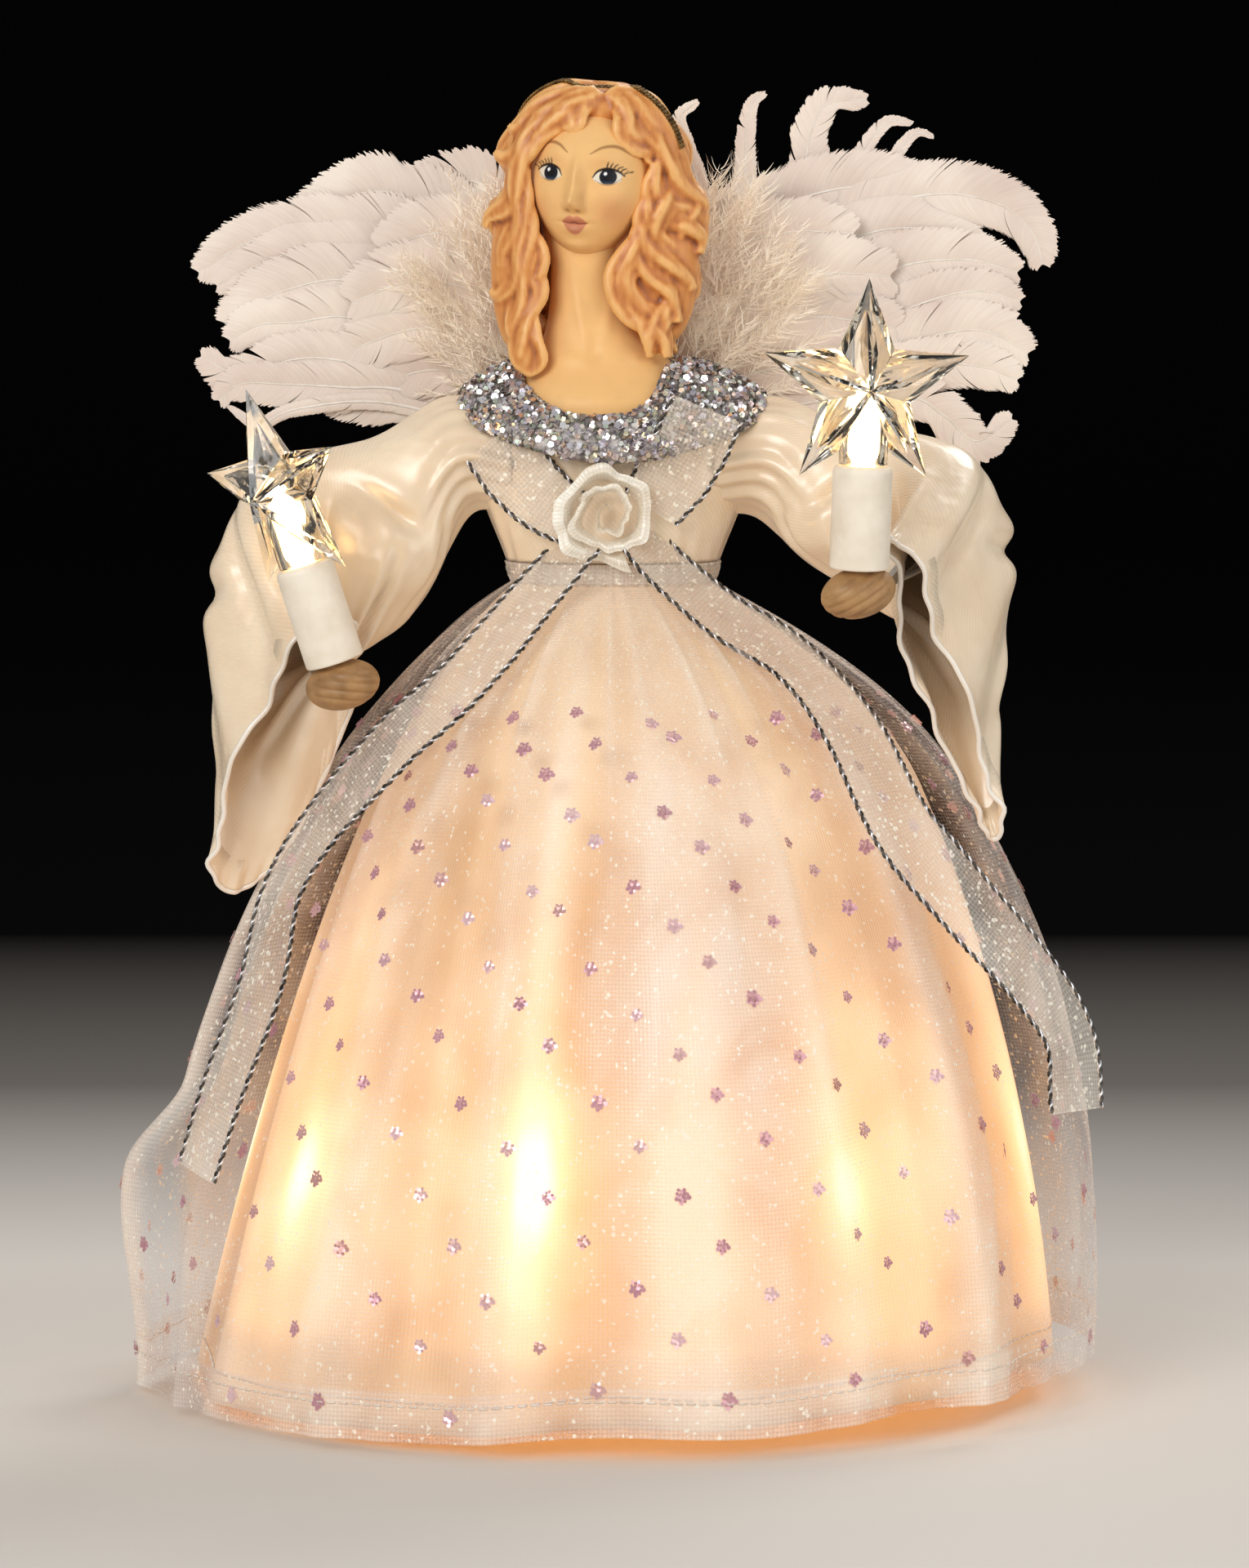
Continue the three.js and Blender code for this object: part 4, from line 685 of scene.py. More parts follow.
# Light scatters on and on between the barbs of down, which the faint glow stands for
DOWN = moulded("marabou_down", "#fdf2e0", "#f0dfc8", 0.4, 0.85, 0.1, Sheen_Weight=0.4, Emission_Strength=0.08,
               Emission_Color=colour("#fff4e8"))
STYRENE = clear_styrene()
SOCKET = moulded("socket_polypropylene", "#f5ead8", "#e8dac4", 0.5, 0.42, 0.08)
LAMP = lit_lamp()
HAND_PAINT = moulded("painted_hand_resin", "#b28858", "#8f683f", 0.35, 0.48, 0.15)
CONE_PLASTIC = moulded("cone_polypropylene", "#f3eee2", "#e6dfd0", 0.6, 0.45, 0.08, Subsurface_Weight=0.08)
FOAM = moulded("bead_foam", "#f1ebe0", "#ddd4c6", 0.9, 0.8, 0.6)
CARD = moulded("ivory_card", "#f4ecdd", "#e8ddca", 0.4, 0.9, 0.3)
PVC = moulded("pvc_insulation", "#eeece4", "#dedbd0", 0.5, 0.5, 0.05)
ZINC = moulded("galvanised_wire", "#b9bbbd", "#8b8d90", 0.25, 0.38, 0.15, Metallic=1.0)


# The gown

TORSO_FOOT, SKIRT_TOP, WAIST, TORSO_TOP = 150.3, 153.5, 157.6, 184.8
WAIST_RADIUS = 17.5
# The power of the torso's oval: at 2 it would be an ellipse
TORSO_POWER = 2.3
SHOULDER_HEIGHT, SHOULDER_REACH = 176.8, 27.5
# Hip and knee of each bell line, the knee's height, the hem and its height, and then how much fuller it hangs
# away from the left, how much more on the right, and how far it kicks out low on the left
LINING_BELL = (39, 62, 78, 80, 1.0, 7, 8, 0)
ORGANZA_BELL = (45, 81, 84, 87.5, 0.8, 6.5, 6.5, 8)
HIP_DROP = 16
LINING_RISE, ORGANZA_RISE, BAND_RISE = 0.6, 1.5, 1.4
# The gap that keeps the waist band, the skirt's top and the bodice apart
CLEAR = 0.3
BODICE_RISE = 1.1


def oval(angle, half_width, half_depth, power=TORSO_POWER):
    wide, deep = np.abs(np.cos(angle) / half_width), np.abs(np.sin(angle) / half_depth)
    return (wide ** power + deep ** power) ** (-1 / power)


def torso_halves(height):
    """Half the torso's width and half its depth."""
    rise = smoothstep(height, TORSO_FOOT, SHOULDER_HEIGHT)
    return WAIST_RADIUS + 7.5 * rise, 15 - 0.5 * rise


def torso(angle, height):
    return oval(angle, *torso_halves(height))


def bell_line(bell, t):
    hip, knee, knee_height, hem, hem_height = bell[:5]
    a, b, c, d = (1 - t) ** 3, 3 * t * (1 - t) ** 2, 3 * t ** 2 * (1 - t), t ** 3
    return (a * WAIST_RADIUS + b * hip + c * knee + d * hem,
            a * SKIRT_TOP + b * (SKIRT_TOP - HIP_DROP) + c * knee_height + d * hem_height)


def fuller(angle, t, away_from_left, right, kick):
    """How far a skirt stands out from its bell line, because it was gathered unevenly."""
    down = smoothstep(t, 0, 0.4) * (1 - 0.75 * (np.maximum(0, t - 0.45) / 0.55) ** 2)
    from_left = angle % TAU - math.pi
    kicked = kick * smoothstep(t, 0.74, 0.82) * (1 - smoothstep(t, 0.82, 1)) * bump_at(from_left / 0.4)
    wide = away_from_left * (0.5 + 0.5 * np.cos(angle)) ** 0.6
    return down * (wide + right * bump_at((wrapped(angle) - 0.15) / 0.6)) + kicked


def skirt_point(bell, rise, fold, angle, t):
    """Points of a skirt, at a turn round the waist and a share of the way down. Below 0 is its heading."""
    down = np.clip(t, 0, 1)
    radius, height = bell_line(bell, down)
    height = height + np.clip(-t, 0, 1) * (WAIST - SKIRT_TOP)
    spread = radius - WAIST_RADIUS
    share = np.minimum(1, spread / WAIST_RADIUS)
    waist = torso(angle, SKIRT_TOP) * (1 - share) + WAIST_RADIUS * share
    spread = spread + fuller(angle, down, *bell[5:])
    return polar(angle, waist + rise + spread + fold(angle, down), height + hem_lift(angle, down))


def hem_lift(angle, t):
    """The hem hangs lower on the left, and waves a little."""
    return smoothstep(t, 0.55, 1) * (3.0 * (1 + np.cos(angle)) + 0.7 * (1 + ripples(angle, (5, 8, 11), 2)))


def sharp_folds(angle, counts, seed):
    """Folds with narrow crests and wide hollows round a full turn, between about -1 and 1."""
    return ripples(angle, counts, seed, lambda a: 1 - 2 * np.abs(np.sin(0.5 * a)))


def lining_folds(angle, t):
    swung = angle + 0.1 * t * ripples(angle, (2, 3), 9)
    return 2.4 * smoothstep(t, 0.08, 0.6) * sharp_folds(swung, (7, 9, 12, 16), 8)


def organza_folds(angle, t):
    swung = angle + 0.14 * t * ripples(angle, (2, 3, 5), 12)
    gathers = (0.35 + 1.25 * bump_at((t - 0.22) / 0.18)) * sharp_folds(swung, (27, 34, 41, 52), 3)
    depth = 3.4 * smoothstep(t, 0.06, 0.5) * (1 - 0.3 * smoothstep(t, 0.7, 1))
    pipes = depth * sharp_folds(swung, (8, 11, 13, 17), 5)
    swell = 2.4 * bump_at((t - 0.62) / 0.24) * ripples(angle, (3, 4, 5), 21)
    patches = 0.45 * smoothstep(t, 0.25, 0.5) * ripples(angle + 2 * t, (4, 7), 7)
    creases = patches * ripples(swung + 0.5 * t, (38, 45, 57), 6)
    # A looped pucker to the right of the middle, below the rose
    away = (np.degrees(angle) + 90 - 18) / 17
    loop = np.abs(np.hypot(away, (t - 0.36) / 0.1) - 1)
    pucker = 1.6 * bump_at(loop / 0.22) * (t > 0.36)
    return gathers * (1 - smoothstep(t, 0.35, 0.7)) + pipes + swell + creases + pucker


LINING_SKIRT = (LINING_BELL, LINING_RISE, lining_folds)
ORGANZA_SKIRT = (ORGANZA_BELL, ORGANZA_RISE, organza_folds)
# The depth of fold, in millimetres, that the materials take as a full one
FOLD_DEPTH = 2.6


def skirt_sheet(name, skirt, material, rows, columns, wall):
    """A skirt from hem to heading, with the height of its folds kept for its material."""
    t = np.concatenate([np.linspace(1, 0, rows), [-0.5, -1.0]])[:, None]
    angle = full_turn(columns, math.pi / 2)[None, :]
    piece = cloth_piece(name, skirt_point(*skirt, angle, t), material, closed=True, wall=wall)
    height = np.clip(skirt[2](angle, np.clip(t, 0, 1)) / FOLD_DEPTH, -1, 1).ravel()
    mark(piece.data, "fold", np.tile(height, 2 if wall else 1))
    return piece


def hem_stitches(name, skirt, up, count, seed):
    """A row of running stitches a set way up from a hem."""
    edge, above = (skirt_point(*skirt, full_turn(count), np.full(count, t)) for t in (1.0, 0.96))
    rise_way = unit(above - edge)
    along = unit(np.roll(edge, -1, 0) - np.roll(edge, 1, 0))
    out = unit(np.cross(along, rise_way))
    places = edge + rise_way * up + out * 0.12
    stitch = tube([[-0.8, 0, 0], [-0.5, 0, 0.14], [0.5, 0, 0.14], [0.8, 0, 0]], 0.16, 5)
    return repeated(name, stitch, places, out, along, 1.0, SEWING_THREAD, seed)


DOT_FLAKES, DOT_RADIUS = 16, 1.25


def glitter_dots():
    """Glued dots of glitter in slanting rows over the organza, each a cluster of small flakes."""
    rng = np.random.default_rng(14)
    columns, rows = 22, 17
    angles, shares = [], []
    for row, t in enumerate(np.linspace(0.28, 0.972, rows)):
        turn = (np.arange(columns) + (row % 3) / 3) * TAU / columns
        angles.append(turn + rng.normal(0, 0.012, columns))
        shares.append(np.full(columns, t) + rng.normal(0, 0.006, columns))
    angle, t = np.concatenate(angles), np.concatenate(shares)
    places, beside, above = (skirt_point(*ORGANZA_SKIRT, angle + turn, t - rise)
                             for turn, rise in ((0, 0), (0.01, 0), (0, 0.01)))
    along, out = beside - places, unit(np.cross(beside - places, above - places))
    flakes = []
    for k in range(DOT_FLAKES):
        reach, way = DOT_RADIUS * math.sqrt((k + 0.5) / DOT_FLAKES), 2.4 * k
        spin = rng.uniform(0, TAU)
        corner = full_turn(5, spin)
        size = rng.uniform(0.3, 0.46)
        leaf = np.stack([size * np.cos(corner), size * np.sin(corner), np.zeros(5)], 1)
        leaf[:, 2] = leaf[:, :2] @ rng.uniform(-0.25, 0.25, 2) + 0.2
        flakes.append((leaf + [reach * math.cos(way), reach * math.sin(way), 0], [tuple(range(5))]))
    sizes = rng.uniform(0.85, 1.15, len(t))
    return repeated("skirt_glitter_dots", joined(flakes), places, out, unit(along), sizes, DOT_FILM, 4)


def facing_out(grid):
    """Turns a tube's grid so that its faces look away from the middle of each row."""
    away = grid - grid.mean(axis=1, keepdims=True)
    return grid[:, ::-1] if (grid_normals(grid, True) * away).sum() < 0 else grid


def combined(piece, points, faces, how="DIFFERENCE"):
    """Cuts a shape out of a piece, or adds it."""
    tool = make_piece("tool", points, faces, None)
    cut = piece.modifiers.new("cut", "BOOLEAN")
    cut.object, cut.operation, cut.solver = tool, how, "MANIFOLD"
    settled(piece)
    bpy.data.objects.remove(tool)


def ball(centre, radius, sides=32):
    turn = np.linspace(-math.pi / 2, math.pi / 2, sides // 2 + 1)
    points, faces = turned(np.stack([radius * np.cos(turn), radius * np.sin(turn)], 1), sides)
    return points + np.asarray(centre, float), faces


def shoulder(side):
    return np.array([SIDES[side] * SHOULDER_REACH, 0, SHOULDER_HEIGHT])


def bodice_radius(angle, height):
    pleats = 0.28 * ripples(angle, range(22, 40, 3), 31) * (0.4 + 0.6 * bump_at((height - 158) / 9))
    return torso(angle, height) + BODICE_RISE + pleats


def make_bodice():
    height = np.linspace(WAIST + CLEAR, TORSO_TOP, 40)[:, None]
    angle = full_turn(220, math.pi / 2)[None, :]
    grid = polar(angle, bodice_radius(angle, height), height)
    piece = cloth_piece("bodice_cloth", grid, SATIN, closed=True, wall=0.6)
    for side in SIDES:
        combined(piece, *ball(shoulder(side), 9.2))
    piece.data.shade_smooth()
    return piece


lining = dress(skirt_sheet("lining_skirt", LINING_SKIRT, LINING, 70, 240, 0.4), "lining_satin", "underskirt")
overskirt = dress(skirt_sheet("organza_skirt", ORGANZA_SKIRT, ORGANZA, 120, 560, 0), "organza", "overskirt")
dots = dress(glitter_dots(), "glitter")
organza_seam = dress(hem_stitches("organza_hem_stitches", ORGANZA_SKIRT, 6.5, 240, 1), "organza")
dress(hem_stitches("lining_hem_stitches", LINING_SKIRT, 5.5, 220, 2), "lining_satin")
bodice = dress(make_bodice(), "satin", "bodice")


# Sleeves, hands and candles

ARMS = {
    "left": {"elbow": (-35, -9, -21), "hand": (-22.5, -31, -40.5), "tip": (-48, -15, -80),
             "axis": (-0.32, -0.06, 1), "turn": -48, "fall": 4, "mouth": 10.5},
    "right": {"elbow": (34, -15, -15), "hand": (17.5, -46, -22.5), "tip": (42, -27, -70),
              "axis": (0.03, -0.08, 1), "turn": 8, "fall": 0.5, "mouth": 4},
}


# Each crease's place along a sleeve and round it, its lean, half its length and its depth
SLEEVE_CREASES = (
    (0.5, 2.2, 0.5, 10, 2.2), (0.58, 2.9, 0.3, 12, 2.3), (0.46, 4.0, -0.4, 10, 2.0),
    (0.66, 3.6, 0.2, 14, 2.1), (0.3, 5.2, 0.6, 9, 1.5), (0.36, 1.3, -0.5, 9, 1.5),
    (0.74, 0.9, 0.1, 15, 1.7), (0.78, 5.4, -0.1, 15, 1.8), (0.22, 3.3, 0.2, 10, 1.4),
    (0.2, 4.4, -0.2, 10, 1.4), (0.26, 2.4, 0.3, 9, 1.2), (0.62, 4.7, 0.4, 12, 1.8))
SLEEVE_RUN, SLEEVE_GIRTH = 110, 13
FIST_LENGTH, FIST_DEPTH, FIST_HEIGHT = 7.2, 5.4, 4.7
STAR_HEIGHT = 33.2


def arm_point(side, part):
    return shoulder(side) + np.array(ARMS[side][part], float)


def candle_frame(side):
    """The candle's foot, with its Z axis up the candle."""
    up = Vector(ARMS[side]["axis"]).normalized()
    turn = Vector((0, 0, 1)).rotation_difference(up).to_matrix().to_4x4()
    return Matrix.Translation(Vector(arm_point(side, "hand")) + up * 4.5) @ turn


def sleeve_grid(side, rows=110, columns=150):
    """A bell sleeve from the armhole, round the elbow, to a long pointed cuff with its edge turned in."""
    out = SIDES[side]
    pivot, elbow, hand, tip = shoulder(side), *(arm_point(side, p) for p in ("elbow", "hand", "tip"))
    forearm = unit(elbow - hand)
    wrist_top = hand + forearm * 10 + np.array([0, 0, 7])
    cuff_up = (wrist_top - tip) / 2
    bend_side = np.array([0.85 * out, 0.5, 0]) * 15
    cuff_side = unit(np.cross(cuff_up, forearm))
    cuff_side = cuff_side * math.copysign(1, cuff_side @ bend_side)
    # Each sleeve hangs its own way: how far its underside falls, and half its mouth's width
    fall, mouth = np.array([0, 0, ARMS[side]["fall"]]), ARMS[side]["mouth"]
    stations = [
        ((out * 19, 0, SHOULDER_HEIGHT - 0.5), (0, 0, 9.8), (0, 12.4, 0)),
        (pivot + np.array([out * 2, 0, 0.3]), (out * 2, 0, 11.2), (0, 12.3, 0)),
        (pivot + 0.42 * (elbow - pivot) - fall, fall + [out * 3, 0, 12.8],
         np.array([0.35 * out, 0.94, 0]) * 12.5),
        (elbow - fall, fall + [0, 0, 17], bend_side),
        ((wrist_top + tip) / 2 + cuff_side * (6 - mouth), cuff_up, cuff_side * mouth),
    ]
    line = smooth_line([np.concatenate(s) for s in stations], rows)
    angle = full_turn(columns)
    middle, high, deep = line[:, None, :3], line[:, None, 3:6], line[:, None, 6:]
    grid = facing_out(middle + np.cos(angle)[None, :, None] * high + np.sin(angle)[None, :, None] * deep)
    s, a = np.linspace(0, 1, rows)[:, None], (angle if out > 0 else -angle)[None, :]
    gathers = 0.8 * bump_at((s - 0.06) / 0.15) * ripples(a, range(9, 22, 3), 41)
    drag = 1.3 * bump_at((s - 0.42) / 0.22) * ripples(a + 3.2 * s, (3, 5, 6), 42)
    hang = 1.8 * smoothstep(s, 0.5, 0.9) * ripples(a + 0.5 * s, (3, 4, 6, 7), 43)
    frill = 0.7 * smoothstep(s, 0.93, 1) * ripples(a, (13, 17, 22), 44)
    creases = np.zeros_like(s * a)
    for where, turn, lean, reach, depth in SLEEVE_CREASES:
        along, across = (s - where) * SLEEVE_RUN, wrapped(a - turn) * SLEEVE_GIRTH
        p = along * math.cos(lean) + across * math.sin(lean)
        q = across * math.cos(lean) - along * math.sin(lean)
        ridges = 0.6 * bump_at((q - 3) / 2.2) + 0.5 * bump_at((q + 3) / 2.4) - bump_at(q / 1.4)
        creases = creases + depth * bump_at(p / reach) * ridges
    grid = grid + grid_normals(grid, True) * (gathers + drag + hang + frill + creases)[:, :, None]
    cuff = grid[-1]
    inward, back = unit(cuff.mean(axis=0) - cuff), unit(grid[-4] - cuff)
    rolled = [cuff + inward * depth + back * run for depth, run in ((0.5, 0.2), (0.9, 1.6), (1.2, 5))]
    return np.concatenate([grid, rolled]), cuff


def make_fist(side):
    """A closed hand lying across under the candle, with grooves between the slanting fingers."""
    out = SIDES[side]
    rise = np.linspace(-math.pi / 2, math.pi / 2, 65)
    points, faces = turned(np.stack([np.cos(rise), np.sin(rise)], 1), 96)
    along = unit([out * 0.9, 0.36, 0.22 * out])
    deep = unit(np.cross([0, 0, 1], along)) * out
    high = np.cross(along, deep) * out
    x, y, z = points.T
    to_front = smoothstep(-y, -0.45, 0.3)
    slant = z * FIST_HEIGHT - 0.34 * x * FIST_LENGTH
    grooves = sum(bump_at((slant - p) / 0.36) for p in (-2.6, -0.7, 1.2, 3.0))
    fingers = smoothstep(-x, -0.75, -0.35)
    thumb = bump_at((slant - 2.2) / 1.3) * bump_at((x * FIST_LENGTH + 2.5) / 3.5)
    swell = 1 - 0.075 * grooves * to_front * fingers * (1 - thumb) + 0.1 * thumb * to_front
    shaped = np.outer(x * FIST_LENGTH, along) + np.outer(y * FIST_DEPTH, deep)
    shaped = shaped + np.outer(z * FIST_HEIGHT, high)
    return make_piece(f"{side}_fist", shaped * swell[:, None] + arm_point(side, "hand"), faces, HAND_PAINT)


def star_solid(tip, valley, half_depth, swell):
    """A five-pointed star with ridges from its middle to the tips. Each flank is cut into three facets."""
    corners = [(0, -half_depth, 0), (0, half_depth, 0)]
    for i in range(10):
        angle, reach = math.pi / 2 + TAU * i / 10, valley if i % 2 else tip
        corners.append((reach * math.cos(angle), 0, reach * math.sin(angle)))
    faces = []
    for i in range(10):
        here, after = 2 + i, 2 + (i + 1) % 10
        for flank in ((0, after, here), (1, here, after)):
            a, b, c = (np.array(corners[k]) for k in flank)
            out = unit(np.cross(b - a, c - a))
            away = out @ (a + b + c) > 0
            corners.append(tuple((a + b + c) / 3 + (out if away else -out) * swell))
            order = flank if away else flank[::-1]
            faces += [(order[k], order[(k + 1) % 3], len(corners) - 1) for k in range(3)]
    return np.array(corners, float), faces


def make_star(side):
    """A clear hollow star on a collar that slips over the lamp."""
    place = candle_frame(side) @ Matrix.Rotation(math.radians(ARMS[side]["turn"]), 4, "Z")

    def stood(shape, height=0.0):
        return placed(shape[0] + [0, 0, height], place), shape[1]

    points, faces = stood(star_solid(20, 8.8, 7.5, 0.35), STAR_HEIGHT)
    piece = make_piece(f"{side}_star", points, faces, STYRENE, smooth=False)
    combined(piece, *stood(turned([(0, 19.3), (4.5, 19.3), (4.5, 33), (0, 33)], 40)), "UNION")
    combined(piece, *stood(star_solid(14, 6.6, 5.7, -0.3), STAR_HEIGHT))
    combined(piece, *stood(turned([(0, 18.3), (3.2, 18.3), (3.2, 35.1), (0, 35.1)], 40)))
    return soften(piece, 12)


def lathe_piece(name, profile, rounding, material, side):
    points, faces = turned(rounded(profile, rounding), 64)
    return soften(make_piece(name, placed(points, candle_frame(side)), faces, material), 50)


# Radius and height along the candle
HOLDER_PROFILE = [(0, -7.5), (1.9, -7.5), (1.9, 0), (5.5, 0), (5.5, 18.2), (4.9, 19), (2.6, 19), (2.6, 12),
                  (0, 12)]
LAMP_PROFILE = [(0, 12.3), (2.3, 12.3), (2.3, 20.3), (2.9, 20.8), (2.9, 29.5), (2.3, 32.3), (0.7, 34.3),
                (0, 34.8)]


for side, out in SIDES.items():
    body = f"{side}_arm"
    grid, cuff = sleeve_grid(side)
    sleeve = cloth_piece(f"{side}_sleeve_cloth", grid, SATIN, closed=True, wall=0.35)
    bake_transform(sleeve)
    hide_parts(f"{side}_sleeve")
    roll = strands(f"{side}_cuff_roll", [np.vstack([cuff, cuff[:2]])], [0.5], CUFF_SATIN, 8)
    dress(roll, "satin", body=body)
    dress(make_fist(side), "painted_hand", f"{side}_hand", body=body)
    holder = lathe_piece(f"{side}_candle_tube", HOLDER_PROFILE, 0.5, SOCKET, side)
    dress(holder, "holder_plastic", f"{side}_candle_holder", body=body)
    hand, elbow, pivot = arm_point(side, "hand"), arm_point(side, "elbow"), shoulder(side)
    lead = smooth_line([hand + [0, 0, 0.5], hand + 0.25 * (elbow - hand) + [0, 1.5, -1.5],
                        elbow + [-out * 2, 0, -2.2], pivot + 0.45 * (elbow - pivot) + [0, 0, -2.4],
                        pivot + [out * 3, 0, -2.2]], 60)
    lead = strands(f"{side}_lead", [lead], [0.6], PVC, 8)
    dress(lead, "lead_insulation", f"{side}_candle_lead", body=body)
    lamp = lathe_piece(f"{side}_lamp", LAMP_PROFILE, 1.2, LAMP, side)
    dress(lamp, "lit_glass", f"{side}_candle_bulb", body=f"{side}_bulb")
    dress(make_star(side), "clear_star", f"{side}_star_cover", body=f"{side}_star")


# Ribbons, rose and collar

def on_skirt(x, z, lift):
    """A point on the front of the organza, over its folds, at a given width and height."""
    t = np.linspace(0, 1, 200)
    radius, height = bell_line(ORGANZA_BELL, t)
    y = -60.0
    rise = ORGANZA_RISE + 2.5 * smoothstep(150 - z, 0, 40) + lift
    for _ in range(6):
        out = radius + fuller(math.atan2(y, x), t, *ORGANZA_BELL[5:])
        reach = np.interp(z, height[::-1], out[::-1]) + rise
        y = -math.sqrt(max(reach ** 2 - x * x, 4))
    return np.array([x, y, z])


def on_bodice(x, z, lift):
    a, b = (float(half) + 1.7 + lift for half in torso_halves(z))
    return np.array([x, -b * (1 - min(abs(x / a), 0.97) ** TORSO_POWER) ** (1 / TORSO_POWER), z])


def ribbon_grid(path, width, cup, facing, rows=140):
    """A strip along a path in front of the figure, a little cupped and rippled. It faces outward, with a
    share of the way to its side, and some way up."""
    line = smooth_line(path, rows)
    along = way_along(line)
    out = square_to(line * [facing[0], 1, 0] + [0, 0, facing[1]], along)
    across = np.cross(along, out)
    u, s = np.linspace(-1, 1, 13)[None, :], np.linspace(0, 1, rows)[:, None]
    broad = np.interp(s, np.linspace(0, 1, len(width)), width) / 2
    ripple = 0.35 * np.sin(s * 23) * u ** 2 + cup * (1 - u ** 2) * bump_at((s - 0.5) / 0.6)
    return line[:, None] + across[:, None] * (broad * u)[:, :, None] + out[:, None] * ripple[:, :, None]


def rope_lines(edge, pitch=2.6, reach=0.27):
    """Two strands that twist round each other along an edge."""
    run = run_of(edge)
    fine = sampled(np.arange(0, run[-1], pitch / 8), run, edge)
    along = way_along(fine)
    a = unit(np.cross(along, [0.2, 0.9, 0.3]))
    b = np.cross(along, a)
    turn = (np.arange(len(fine)) * TAU / 8)[:, None]
    return [fine + reach * (np.cos(turn + p) * a + np.sin(turn + p) * b) for p in (0, math.pi)]


# Each ribbon's points of width, height and lift, its widths, its cup and the way it faces
RIBBONS = {
    "left_ribbon_tail": (
        [(-5, 163, 1.2), (-10, 157, 2.2), (-20, 146, 1.5), (-30, 135, 1.5), (-41, 125, 2), (-53, 112, 2),
         (-61, 98, 2.5), (-65, 82, 3), (-71, 64, 3), (-77, 47, 2.5)],
        (10, 13, 13, 13, 13, 13), 0.5, (0.8, 22)),
    "right_ribbon_tail": (
        [(5, 163, 1.2), (10, 157, 2.4), (20, 149, 2), (33, 141, 2), (45, 127, 2), (54, 110, 2), (64, 98, 3.5),
         (75, 86, 6), (84, 72, 8), (86, 58, 7)],
        (10, 13, 14, 15, 15, 15), 0.5, (0.55, 22)),
    "left_chest_ribbon": (
        [(-23, 181, 2.6), (-19, 176, 2.0), (-13, 170, 1.2), (-7, 166, 0.9)], (12, 13, 12, 10), 0.4, (0.3, 3)),
    "right_chest_ribbon": (
        [(17.5, 187, 5.6), (15, 181, 5.0), (11.5, 175, 2.8), (7, 168, 1.0)], (14, 14, 14, 11), 0.4, (0.3, 3)),
}
pale, dark, ribbons = [], [], {}
for name, (places, *shape) in RIBBONS.items():
    path = [on_bodice(*p) if p[1] > SKIRT_TOP else on_skirt(*p) for p in places]
    grid = ribbon_grid(path, *shape)
    ribbons[name] = dress(cloth_piece(name + "_cloth", grid, RIBBON), "ribbon_organza", name)
    for edge in (grid[:, 0], grid[:, -1]):
        one, two = rope_lines(edge)
        pale.append(one)
        dark.append(two)
edges = [dress(strands(name, lines, [0.25] * len(lines), thread, 5), "ribbon_organza")
         for name, lines, thread in (("silver_ribbon_edges", pale, SILVER_THREAD),
                                     ("dark_ribbon_edges", dark, DARK_THREAD))]


def band_grid():
    angle = full_turn(240, math.pi / 2)[None, :]
    height = np.linspace(SKIRT_TOP + CLEAR, WAIST, 12)[:, None]
    off_middle = height - (SKIRT_TOP + WAIST) / 2
    gathers = 0.3 * sharp_folds(angle + 0.02 * off_middle, (31, 38, 47), 51) + 0.3 * bump_at(off_middle / 1.6)
    return polar(angle, torso(angle, height) + BAND_RISE + gathers, height)


band = cloth_piece("waist_band_cloth", band_grid(), RIBBON, closed=True, wall=0.5)
dress(band, "satin", "waist_band")


ROSE_HEIGHT = 167.3


def rose_grid():
    """A strip of organza wound loosely into a rose: upright at the heart, with uneven petals at the rim."""
    s, v = np.linspace(0, 1, 380)[None, :], np.linspace(0, 1, 14)[:, None]
    turn = s * 2.7 * TAU + 0.7
    uneven = ripples(s * TAU, (6, 8, 11, 15), 61)
    puckers = ripples(s * TAU, (23, 31, 38), 62)
    reach = 0.8 + 6.6 * s ** 0.8 + 0.35 * uneven
    lean = (0.3 + 2.2 * s) * v ** 1.6 * (1 + 0.45 * uneven)
    roll = 0.9 * s * smoothstep(v, 0.7, 1)
    radius = reach + lean + roll + 0.22 * puckers * v
    depth = 0.4 + (6.6 - 2.8 * s) * (v - 0.22 * v ** 3) - 1.3 * roll + (0.8 * uneven + 0.3 * puckers) * v
    # The heart is pressed flat into a few upright folds
    flat = 1 - 0.4 * bump_at(s / 0.3)
    back = -float(bodice_radius(np.array(FRONT), ROSE_HEIGHT)) - 1.4
    return np.stack(np.broadcast_arrays(flat * radius * np.cos(turn) - 0.9, back - depth,
                                        radius * np.sin(turn) + ROSE_HEIGHT), axis=-1)


rose = dress(cloth_piece("rose_cloth", rose_grid(), ROSETTE), "rosette_cloth", "ribbon_rose")


# The bare chest and neck: height, half-width, half-depth, and how far its middle lies to the right and back
CHEST = [(185.1, 19.4, 15.4, 0, 0.2), (188.0, 19.0, 15.2, -0.2, 0.2), (190.5, 17.6, 13.8, -0.7, 0.3),
         (193.5, 14.8, 11.6, -1.6, 0.5), (197, 11.6, 9.8, -2.8, 0.6), (201, 9.0, 8.2, -3.8, 0.6),
         (206, 7.4, 7.2, -4.6, 0.4), (212, 6.7, 6.8, -5.0, 0.2), (218, 6.8, 7.0, -5.0, 0),
         (224, 7.0, 7.2, -4.8, 0)]
NECK_POWER = 2.2
FLAKES_PER_M2, FLAKE_RADIUS = 1600000.0, 0.62 * MM


